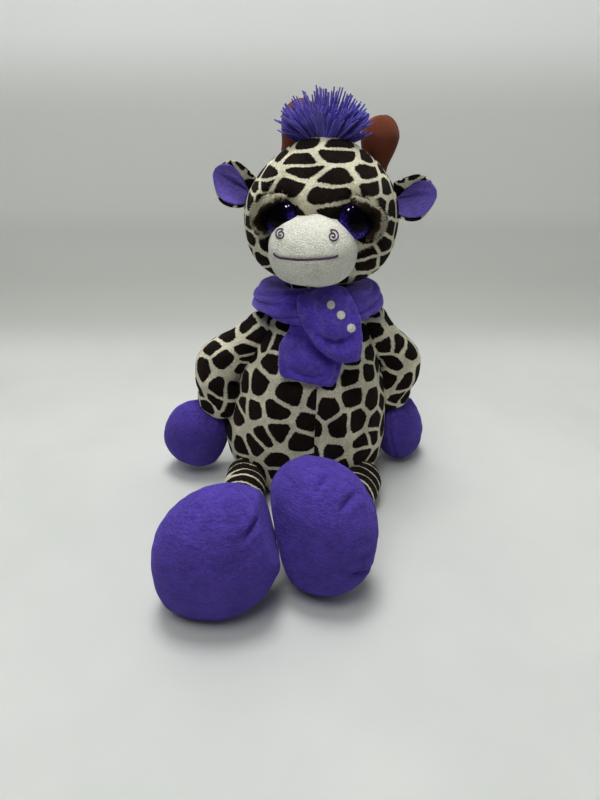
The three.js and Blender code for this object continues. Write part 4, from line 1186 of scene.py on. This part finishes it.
class GIRAFFE_OT_ears(PieceOperator, bpy.types.Operator):
    """Cupped ears: a printed back and a purple lining that shows in front"""

    bl_idname = "giraffe.ears"
    bl_label = "Ears"

    def blade(self, side, inner, outer, shrink, root_gap):
        """One layer between two distances from the middle surface, cupped more towards its root,
        with a pleat along the middle of its hollow. It stops short of the upper edge at the root by
        a share."""
        a = np.linspace(-1, 1, 60)
        middle, rings = (inner + outer) / 2, []
        for s in np.linspace(0, 1, 60):
            outline = math.sin(math.pi * (0.1 + 0.885 * s) ** 0.8) ** 0.62
            cup = 1 + 0.75 * (1 - s) ** 2
            radius = EAR_HALF_WIDTH / math.sin(math.radians(EAR_CUP)) / cup
            reach = np.where(a > 0, 1 - root_gap * (1 - s) ** 1.6, 1)
            angle = a * math.radians(EAR_CUP) * outline * shrink * cup * reach
            edge = np.sqrt(np.maximum(1 - np.abs(a) ** 8, 0.02)) * min(1, (1.02 - s) * 14) ** 0.5
            half = (outer - inner) / 2 * edge
            x = side * (EAR_LENGTH * shrink * s + 1.5 * (1 - shrink) * EAR_LENGTH * s)
            pleat = 2.4 * bump(a - 0.18 + 0.25 * s, 0.16) - 1.3 * bump(a - 0.5 + 0.25 * s, 0.22)
            pleat = pleat * math.sin(math.pi * min(1, s * 1.15 + 0.05)) ** 0.7
            front, back = [
                np.stack((x + 0 * a, r * np.cos(angle) - radius + pleat, r * np.sin(angle)), 1)
                for r in (radius + middle + half, radius + middle - half)
            ]
            rings.append(np.concatenate((front, back[::-1][1:-1])))
        return np.array(rings)

    def make(self):
        for name, side in SIDES:
            turn = HEAD_FRAME @ placed(ear_root(side), ("Y", -side * EAR_LIFT[name]), ("Z", side * 4))
            start = moved(ear_root(side), HEAD_FRAME) * MM
            end = moved(ear_root(side) + (side * 9, 0, 0), HEAD_FRAME) * MM
            for inner, outer, shrink, root_gap, finish, layer in (
                (0, 2.8, 1.0, 0, "ear print", "ear_back"),
                (-2.2, 0.1, 0.95, 1.1, "ear lining", "ear_lining"),
            ):
                rings = self.blade(side, inner, outer, shrink, root_gap)
                rings = rings + 0.5 * waves(rings, 14, 41 + side)[:, :, None] * np.array((0, 1, 0.3))
                blade = skin(f"{name}_{layer}_cloth", moved(rings, turn))
                body = ("head", f"{name}_ear", start, end)
                dress(blade, finish, body, f"{name}_{layer}", fill=0.15)


class GIRAFFE_OT_horns(PieceOperator, bpy.types.Operator):
    """Stuffed suede horns with a side seam"""

    bl_idname = "giraffe.horns"
    bl_label = "Horns"

    def make(self):
        for name, side in SIDES:
            length = HORN_LENGTH - HORN_TIP
            rings, ends = limb_rings(length, HORN_TIP, HORN_FOOT, 0, 0, 96, 40)
            a = ring_angles(96)[None, :]
            seam = np.abs(np.remainder(a - side * math.pi / 2 + math.pi, 2 * math.pi) - math.pi) * 13
            push = 0.4 * waves(rings, 12, 51) - 1.1 * bump(seam, 0.9) + 0.5 * bump(seam - 2.2, 1.4)
            push += 1.2 * bump(rings[:, :, 2] + 4, 8) - 1.6 * bump(rings[:, :, 2] + length, 9)
            rings = pushed(rings, push) + (0, 0, length)
            ends = np.array(ends, float) + (0, 0, length)
            turn = HEAD_FRAME @ placed(horn_pivot(name, side), ("Y", side * HORN_LEAN[name]))
            horn = skin(f"{name}_horn_suede", moved(rings, turn), moved(ends, turn))
            pivot = moved(horn_pivot(name, side), HEAD_FRAME)
            body = ("head", f"{name}_horn", (pivot - (0, 0, 6)) * MM, (pivot + (0, 0, 6)) * MM)
            dress(horn, "horn suede", body, f"{name}_horn", fill=0.9)


STRAND_TAPER = (0.75, 0.9, 1, 1, 1, 1, 0.95, 0.85, 0.7)


def on_disc(i, count):
    """Place i of a round disc that is evenly filled."""
    reach, turn = math.sqrt((i + 0.5) / count), i * math.pi * (3 - math.sqrt(5))
    return reach * math.cos(turn), reach * math.sin(turn)


class GIRAFFE_OT_fringe(PieceOperator, bpy.types.Operator):
    """Cut strands that fan out of the crown and end the tail"""

    bl_idname = "giraffe.fringe"
    bl_label = "Fringes"

    def make(self):
        pick = np.random.default_rng(61)
        self.tuft(pick)
        self.tail(pick)

    def tuft(self, pick):
        root = on_crown(0, -TUFT_FORWARD) - (0, 0, 1.5)
        t = np.linspace(0, 1, len(STRAND_TAPER))[:, None]
        lines = []
        for i in range(trim().strand_count):
            clump = i % TUFT_CLUMPS
            x, y = on_disc(clump, TUFT_CLUMPS)
            x = math.copysign(abs(x) ** 0.85, x) + pick.normal() * 0.04
            y += pick.normal() * 0.07
            side = math.radians(TUFT_SPREAD_SIDE * x - 1)
            depth = math.radians(TUFT_SPREAD_DEPTH * y - TUFT_LEAN)
            level = math.cos(side)
            aim = np.array((math.sin(side), math.sin(depth) * level, math.cos(depth) * level))
            aim /= np.linalg.norm(aim)
            shorter = 0.88 + 0.12 * math.sin(clump * 2.4)
            length = (TUFT_LENGTH + 3 - 2 * x * x) * (1 - 0.12 * y * y) * shorter * pick.uniform(0.74, 1.06)
            start = root + (11 * x, 4.5 * y + 2 * x * x, -1.6 * x * x)
            droop = -3 * abs(aim[0]) ** 2 * t**2.2
            sway = np.array((pick.normal(), pick.normal(), 0)) * 1.3
            line = start + aim * length * t + sway * t**2 + np.concatenate((0 * t, 0 * t, droop), 1)
            lines.append(moved(line, HEAD_FRAME))
        for i in range(TUFT_UNDERLAY):
            x = (2 * ((i * 0.618) % 1) - 1) * 0.5 + (0.5 if i % 2 else -0.5)
            aim = np.array((math.sin(1.15 * x), 0.16, math.cos(1.15 * x)))
            sway = np.array((pick.normal(), pick.normal(), 0)) * 1.2
            start = root + (13 * x, 4 + 3 * x * x, -2 - 3 * x * x)
            line = start + aim * TUFT_LENGTH * pick.uniform(0.5, 0.75) * t
            lines.append(moved(line + sway * t**2, HEAD_FRAME))
        tuft = yarn("hair_tuft_strands", lines, trim().strand_thickness, "fringe yarn", STRAND_TAPER, 5)
        dress(tuft, "fringe yarn", "head", "hair_tuft")

    def tail(self, pick):
        half_depth = torso_at(TAIL_ROOT_HEIGHT)[1]
        place = on_torso(0, half_depth + TAIL_ROOT_RADIUS * 0.6, TAIL_ROOT_HEIGHT)
        end = np.array((place[0], place[1] + TAIL_LENGTH, TAIL_RADIUS + FLOOR_GAP))
        bend = place + (end - place) * 0.4
        bend[2] = TAIL_RADIUS + FLOOR_GAP
        t = np.linspace(0, 1, 50)[:, None]
        path = (1 - t) ** 2 * place + 2 * t * (1 - t) * bend + t**2 * end
        up = np.cross((1, 0, 0), tangents(path))
        fat = np.interp(t[:, 0], (0, 0.04, 0.12, 0.94, 1), (4.5, 7.2, 6.2, 6, 4.5))[:, None]
        rings = above(rings_round(path, np.array([(1.0, 0, 0)]) * fat, up * fat, 40), FABRIC_FLOOR)
        tail = skin("tail_cloth", rings, (place, end))
        body = ("torso", "tail", place * MM, (place + (0, 10, -2)) * MM)
        dress(tail, "limb print", body, "tail", fill=0.6)
        lines = []
        t = np.linspace(0, 1, 7)[:, None]
        for i in range(TAIL_STRANDS):
            x, z = on_disc(i, TAIL_STRANDS)
            aim = np.array((0.5 * x, 1, 0.2 * z))
            line = end + (2.8 * x, -2, 2.8 * z) + aim * TAIL_STRAND_LENGTH * t * pick.uniform(0.85, 1.05)
            line[:, 2] = np.maximum(line[:, 2] - 2.5 * t[:, 0] ** 2, 0.95)
            lines.append(line)
        end_tuft = yarn("tail_tuft_strands", lines, trim().strand_thickness, "fringe yarn", None, 5)
        dress(end_tuft, "fringe yarn", "tail", "tail_tuft")


BAND_CENTRE = on_torso(0, 0, TORSO_HEIGHT) + (0, 0, BAND_RISE)


class GIRAFFE_OT_scarf(PieceOperator, bpy.types.Operator):
    """Velour scarf: the band round the neck and its two crossed ends"""

    bl_idname = "giraffe.scarf"
    bl_label = "Scarf"

    def make(self):
        self.band()
        middle, y, z = BAND_CENTRE
        front, foot = y - BAND_HALF_DEPTH, z - BAND_HEIGHT / 2
        top = z + BAND_HEIGHT / 2 + BAND_FRONT_RISE
        chest = on_torso(0, -torso_at(UNDER_END["bottom"])[1], UNDER_END["bottom"])[1]
        root = np.array((middle + UNDER_END["shift"], front + UNDER_END["inset"], foot + UNDER_END_TUCK))
        line = [(0, 0), (UNDER_END["inset"] / 2, -BAND_HEIGHT * 0.7)]
        line += [(root[1] - chest + SCARF_END_THICKNESS / 2, UNDER_END["bottom"] - root[2])]
        folds = [
            ([(278, 324), (285, 328), (296, 336), (309, 345), (320, 356)], 5.0, 5.0),
            ([(282, 352), (296, 358), (312, 366), (326, 372)], -4.0, 8.0),
            ([(286, 368), (298, 374), (312, 377), (326, 375)], 2.2, 2.4),
            ([(292, 346), (300, 350), (306, 358)], 2.0, 3.0),
        ]
        self.end("scarf_under_end", UNDER_END, root, line, 71, folds)
        root = np.array((middle + OVER_END["shift"], front + OVER_END["inset"], top))
        fall = OVER_END["bottom"] - root[2]
        stand = OVER_END_STAND_OUT
        line = [(0, 0), (OVER_END_ARCH, -SCARF_END_THICKNESS * 0.7), (stand, fall * 0.4)]
        line += [(stand, fall * 0.75), (stand + SCARF_END_THICKNESS / 2, fall)]
        folds = [
            ([(309, 300), (313, 312), (322, 324)], 1.6, 3.0),
            ([(347, 302), (349, 318), (346, 332)], 1.5, 2.8),
            ([(313, 334), (324, 340), (335, 344), (347, 341), (358, 331)], 4.2, 3.6),
            ([(332, 354), (342, 356), (352, 352)], -2.5, 6.0),
            ([(312, 298), (322, 310), (332, 326)], -2.5, 7.0),
        ]
        over = self.end("scarf_over_end", OVER_END, root, line, 72, folds)
        self.dots(over)

    def band(self):
        around, sides = 220, 72
        a = ring_angles(around)
        out = np.stack((np.sin(a), -np.cos(a), 0 * a), 1)
        wide, deep = BAND_HALF_WIDTH - BAND_THICKNESS / 2, BAND_HALF_DEPTH - BAND_THICKNESS / 2
        tilt = BAND_FRONT_RISE * np.cos(a)
        centres = BAND_CENTRE + np.stack((wide * out[:, 0], deep * out[:, 1], tilt), 1)
        slim = 1 - 0.3 * (1 - bump(np.abs(np.remainder(a + math.pi, 2 * math.pi) - math.pi), 0.8))
        rise = np.array((0, 0, BAND_HEIGHT / 2)) * slim[:, None] - 4 * out
        b = ring_angles(sides)
        c, s = np.cos(b), np.sin(b)
        square = 1 / np.maximum(np.abs(c), np.abs(s)) ** 0.35
        thick = c * square * np.where(c < 0, 1.02 - 0.17 * s, 0.5) * BAND_THICKNESS
        rings = centres[:, None] + out[:, None] * thick[None, :, None]
        rings = rings + rise[:, None] * (s * square)[None, :, None]
        n = rings - centres[:, None]
        n /= np.linalg.norm(n, axis=2, keepdims=True)
        push = 1.2 * waves(rings, 26, 73) + 0.4 * waves(rings, 9, 74)
        wrap = b[None, :] + 0.55 * np.sin(a[:, None] * 1.5 + 0.9)
        for level in (-0.75, 0.15, 0.95):
            crease = np.remainder(wrap - level + math.pi, 2 * math.pi) - math.pi
            push -= 2 * bump(crease, 0.15) - 0.8 * bump(np.abs(crease) - 0.36, 0.2)
        rings = self.kept_out(rings + n * push[:, :, None])
        at = np.arange(around * sides).reshape(around, sides)
        ahead = np.roll(at, -1, 0)
        quads = np.stack((at, np.roll(at, -1, 1), np.roll(ahead, -1, 1), ahead), -1)
        mesh = bpy.data.meshes.new("scarf_band_velour")
        mesh.from_pydata((rings.reshape(-1, 3) * MM).tolist(), [], quads.reshape(-1, 4).tolist())
        band = finish_mesh("scarf_band_velour", mesh)
        dress(band, "scarf velour", "torso", "scarf_band", fill=0.5)

    def kept_out(self, rings):
        """Moves points out of the head, with a little room."""
        local = moved(rings, HEAD_FRAME.inverted()) - HEAD_CENTRE
        reach = np.linalg.norm(local / (HEAD_HALF + BAND_HEAD_ROOM), axis=-1, keepdims=True)
        return moved(local / np.minimum(reach, 1) + HEAD_CENTRE, HEAD_FRAME)

    def end(self, name, spec, root, line, seed, folds):
        path = smooth_rows([(0, -f, u) for f, u in line], 90)
        a = np.linspace(-1, 1, 70)
        thick = SCARF_END_THICKNESS / 2
        hem = 0.8 * bump(np.abs(a) - 0.8, 0.06)
        rings = []
        for i, (spot, tangent) in enumerate(zip(path, tangents(path))):
            s = i / (len(path) - 1)
            proud = np.array((0, tangent[2], -tangent[1]))
            dome = (1 - abs(2 * (0.02 + 0.96 * s) - 1) ** 4.6) ** (1 / 4.6)
            edge = np.maximum((1 - np.abs(a) ** 4) ** (1 / 4), 0.12) * dome
            half = spec["half"] * (0.82 + 0.18 * min(2 * s, 1)) * (dome * 0.65 + 0.35)
            half *= 1 - spec["taper"] * s**3
            aside = spec["drift"] * s * s
            fold = 1.2 * np.sin(a * 4.5 + 3 * s) * (1 - s) + 0.5 * np.sin(a * 8 + seed)
            curl = -3.0 * bump(np.abs(a) - 1, 0.35) * bump(s - 0.9, 0.35)
            lift = (thick - hem) * edge + fold + curl
            sink = thick * edge * 0.95 - fold - curl
            middle = spot + np.stack((a * half + aside, 0 * a, 0 * a), 1)
            front, back = middle + proud * lift[:, None], middle - proud * sink[:, None]
            rings.append(np.concatenate((front, back[::-1][1:-1])))
        rings = np.array(rings)
        rings = rings + (0.7 * waves(rings, 15, seed))[:, :, None] * np.array((0.2, 1, 0.2))
        made = skin(f"{name}_velour", folded(moved(rings, placed(root, ("Y", spec["slant"]))), folds))
        body = ("torso", name, root * MM, (root - (0, 3, 14)) * MM)
        return dress(made, "scarf velour", body, name, fill=0.25)

    def dots(self, over):
        """Three plain round dots in satin stitch."""
        tree = surface_of(over)
        lines = []
        for u, v, size in ((331, 305, 4), (341, 315, 4), (351, 328, 4)):
            for i in range(11):
                y = (i / 5 - 1) * size
                x = math.sqrt(max(size**2 - y**2, 0.2))
                spots = [(u - x + 2 * x * k / 6, v + y) for k in range(7)]
                lines.append(seen_on(tree, spots, 0.3))
        made = yarn("scarf_dots", lines, DOT_THREAD, "cream thread")
        dress(made, "cream thread", "scarf_over_end")


class GIRAFFE_OT_arms(PieceOperator, bpy.types.Operator):
    """Printed sleeves and purple mitten hands"""

    bl_idname = "giraffe.arms"
    bl_label = "Arms and hands"

    def make(self):
        for name, side in SIDES:
            arm = ARMS[name]
            turn = shoulder_frame(name, side)
            swell = ARM_RADIUS - (SHOULDER_RADIUS + WRIST_RADIUS) / 2
            length, bow = ARM_LENGTH - WRIST_RADIUS, side * arm["bow"]
            rings, ends = limb_rings(
                length, SHOULDER_RADIUS, WRIST_RADIUS, swell, bow, 110, 84, ARM_BOW_LOW
            )
            x = rings[:, :, 0] * side
            z = rings[:, :, 2]
            inner = bump(x - np.median(x, axis=1, keepdims=True) + 16, 14)
            push = 0.6 * waves(rings, 18, 81 + side) + 0.25 * waves(rings, 7, 83)
            push += 2.4 * bump(z + length - 2, 16)
            push += (5.5 if side < 0 else 2) * bump(z + 64, 26) * bump(x + 12, 16)
            for level in (-34, -44, -55):
                push -= 1.6 * bump(z - level - 0.25 * x, 2.6) * inner
            rings = moved(pushed(rings, push), turn)
            sleeve = skin(f"{name}_sleeve", rings, moved(ends, turn), FRONT_BACK)
            up, down = moved(((0, 0, 6), (0, 0, -26)), turn) * MM
            dress(sleeve, "limb print", ("torso", f"{name}_arm", up, down), f"{name}_arm", fill=0.8)
            wrist = placed((0, 0, HAND_OVERLAP - ARM_LENGTH), ("Z", side * arm["twist"]))
            self.hand(name, side, turn @ wrist)

    def hand(self, name, side, turn):
        sides = 120
        rings, ends = bulb_rings(
            2 * HAND_HALF_LENGTH,
            lambda t: HAND_HALF_WIDTH * (0.88 + 0.2 * t),
            HAND_HALF_THICK / HAND_HALF_WIDTH,
            2.1,
            sides,
            90,
        )
        rim = np.abs(rings[:, :, 1])
        push = 0.7 * waves(rings, 20, 91 + side) + 0.25 * waves(rings, 7, 93)
        push -= 1.3 * bump(rim, 1.3)
        push += 0.6 * bump(rim - 4, 3)
        top = np.abs(rings[:, :, 2])
        push -= 1.2 * np.maximum(0, np.sin(ring_angles(sides)[None, :] * 9)) * bump(top, 14)
        rings = moved(pushed(rings, push), turn)
        # The fingers droop to the floor
        droop = min(rings[:, :, 2].min() - 0.5, HAND_DROOP)
        rings = rings + (np.clip(top / 45, 0, 1) ** 1.5)[:, :, None] * droop * np.array((0, 1, -1))
        hand = skin(f"{name}_mitten", above(rings, FABRIC_FLOOR), moved(ends, turn))
        dress(hand, "purple plush", f"{name}_arm", f"{name}_hand", fill=0.9)


class GIRAFFE_OT_legs(PieceOperator, bpy.types.Operator):
    """Printed legs and big purple feet with puckers at their seams"""

    bl_idname = "giraffe.legs"
    bl_label = "Legs and feet"

    def make(self):
        for name, side in SIDES:
            leg = LEGS[name]
            hip = hip_frame(name, side)
            turn = hip @ Matrix.Rotation(-math.pi / 2, 4, "X")
            rings, ends = limb_rings(leg["length"], HIP_RADIUS, ANKLE_RADIUS, 0.8, 0, 110, 70)
            z = rings[:, :, 2]
            push = 0.5 * waves(rings, 16, 101 + side)
            push += 0.8 * np.sin(z * 0.75) * bump(z + leg["length"] - 8, 20)
            rings = above(moved(pushed(rings, push), turn), FLOOR_GAP)
            tube = skin(f"{name}_leg_cloth", rings, moved(ends, turn), FRONT_BACK)
            start, stop = moved(((0, 10, 0), (0, -18, 0)), hip) * MM
            dress(tube, "leg rings", ("torso", f"{name}_leg", start, stop), f"{name}_leg", fill=0.8)
            self.foot(name, side, leg, hip)

    def foot(self, name, side, leg, hip):
        ankle_in = FOOT_HALF_DEPTH * math.sqrt(1 - (FOOT_RAISE / FOOT_HALF_HEIGHT) ** 2)
        forward = ankle_in + ANKLE_RADIUS * math.sin(math.radians(ANKLE_SWING))
        foot_turn, roll, lean = leg["foot"]
        turn = hip @ placed(
            (0, -leg["length"] - forward, FOOT_RAISE), ("Z", foot_turn), ("Y", roll), ("X", lean)
        )
        rings, _ = bulb_rings(
            2 * FOOT_HALF_HEIGHT,
            lambda t: FOOT_HALF_WIDTH * (0.97 + 0.06 * t),
            FOOT_HALF_DEPTH / FOOT_HALF_WIDTH,
            2.2,
            220,
            150,
        )
        lift = np.array((0, 0, FOOT_HALF_HEIGHT))
        plain = moved(rings + lift, turn)
        drop = -plain[:, :, 2].min() - 0.5
        rings = pushed(rings, self.lumps(rings + lift, side)) + lift
        rings = moved(rings, turn) + (0, 0, drop)
        rings = folded(rings, self.PUCKERS[name])
        if side < 0:
            # A lower top and a fuller outer corner
            rings[:, :, 2] -= 0.18 * np.logaddexp(0, (rings[:, :, 2] - RIGHT_FOOT_TOP) / 4) * 4
            corner = bump(away_from(RIGHT_FOOT_CORNER, rings), 24)
            rings = rings + outward(rings) * 9 * corner[:, :, None]
        # Each foot stops softly at the slanted plane between the two
        a = math.radians(FEET_SLANT)
        across = side * np.array((math.cos(a), 0, math.sin(a)))
        room = (rings - (FEET_MEET, 0, FOOT_HALF_HEIGHT)) @ across
        if side < 0:
            room += FEET_PRESS + 4.2 / (1 + np.exp((rings[:, :, 2] - 36) / 5))
        kept = (room + np.sqrt(room**2 + (3.5 + 0.5 * side) ** 2)) / 2
        rings = rings + ((kept - room) * np.clip((30 - room) / 20, 0, 1))[:, :, None] * across
        if side < 0:
            rings = pressed(rings, self.first_foot, 1.5)
        foot = skin(f"{name}_foot_plush", above(rings, 0))
        self.first_foot = surface_of(foot)
        dress(foot, "purple plush", f"{name}_foot", f"{name}_foot", fill=0.9)

    # Folds that start at the seam of each foot, where the picture shows them.
    PUCKERS = {
        "right": (
            ([(264, 512), (258, 520), (251, 530), (245, 539)], 3.6, 2.8),
            ([(238, 500), (242, 508), (246, 517)], 1.8, 2.4),
            ([(200, 500), (199, 508), (197, 517)], 1.6, 2.4),
            ([(160, 575), (167, 572), (175, 572)], 0.8, 2.4),
            ([(269, 560), (262, 563), (255, 570)], 1.0, 2.6),
        ),
        "left": (
            ([(358, 494), (351, 499), (345, 506), (341, 514)], 2.8, 2.6),
            ([(330, 474), (325, 479), (321, 486), (319, 492)], 2.2, 2.4),
            ([(374, 566), (366, 572), (357, 575), (347, 575)], 2.8, 2.2),
            ([(371, 553), (362, 558), (352, 563)], 1.6, 2.2),
            ([(344, 585), (341, 577), (339, 568)], 1.0, 2.2),
            ([(284, 476), (290, 482), (294, 490)], 0.9, 2.4),
        ),
    }

    def lumps(self, p, side):
        """Soft lumps of the stuffing, and the rim seam."""
        off_seam = p[:, :, 1] - FOOT_SEAM
        push = 1.1 * waves(p, 34, 111 + side) + 0.35 * waves(p, 11, 113)
        push -= 1.4 * bump(off_seam, 1.3)
        return push + 0.5 * bump(np.abs(off_seam) - 4, 3)


OPERATORS = (
    GIRAFFE_OT_stage,
    GIRAFFE_OT_torso,
    GIRAFFE_OT_head,
    GIRAFFE_OT_muzzle,
    GIRAFFE_OT_eyes,
    GIRAFFE_OT_lids,
    GIRAFFE_OT_ears,
    GIRAFFE_OT_horns,
    GIRAFFE_OT_fringe,
    GIRAFFE_OT_scarf,
    GIRAFFE_OT_arms,
    GIRAFFE_OT_legs,
)


class GIRAFFE_PT_panel(bpy.types.Panel):
    bl_label = "Plush giraffe"
    bl_idname = "GIRAFFE_PT_panel"
    bl_space_type = "VIEW_3D"
    bl_region_type = "UI"
    bl_category = "Plush giraffe"

    def draw(self, context):
        for group in (context.scene.giraffe_cloth, context.scene.giraffe_trim):
            for key in group.__annotations__:
                self.layout.prop(group, key)
        for operator in OPERATORS:
            self.layout.operator(operator.bl_idname)


CLASSES = (ClothSettings, TrimSettings, *OPERATORS, GIRAFFE_PT_panel)


def register():
    for item in CLASSES:
        bpy.utils.register_class(item)
    bpy.types.Scene.giraffe_cloth = PointerProperty(type=ClothSettings)
    bpy.types.Scene.giraffe_trim = PointerProperty(type=TrimSettings)


def unregister():
    del bpy.types.Scene.giraffe_cloth, bpy.types.Scene.giraffe_trim
    for item in reversed(CLASSES):
        bpy.utils.unregister_class(item)


def main():
    register()
    for operator in OPERATORS:
        group, name = operator.bl_idname.split(".")
        getattr(getattr(bpy.ops, group), name)()


if __name__ == "__main__":
    main()
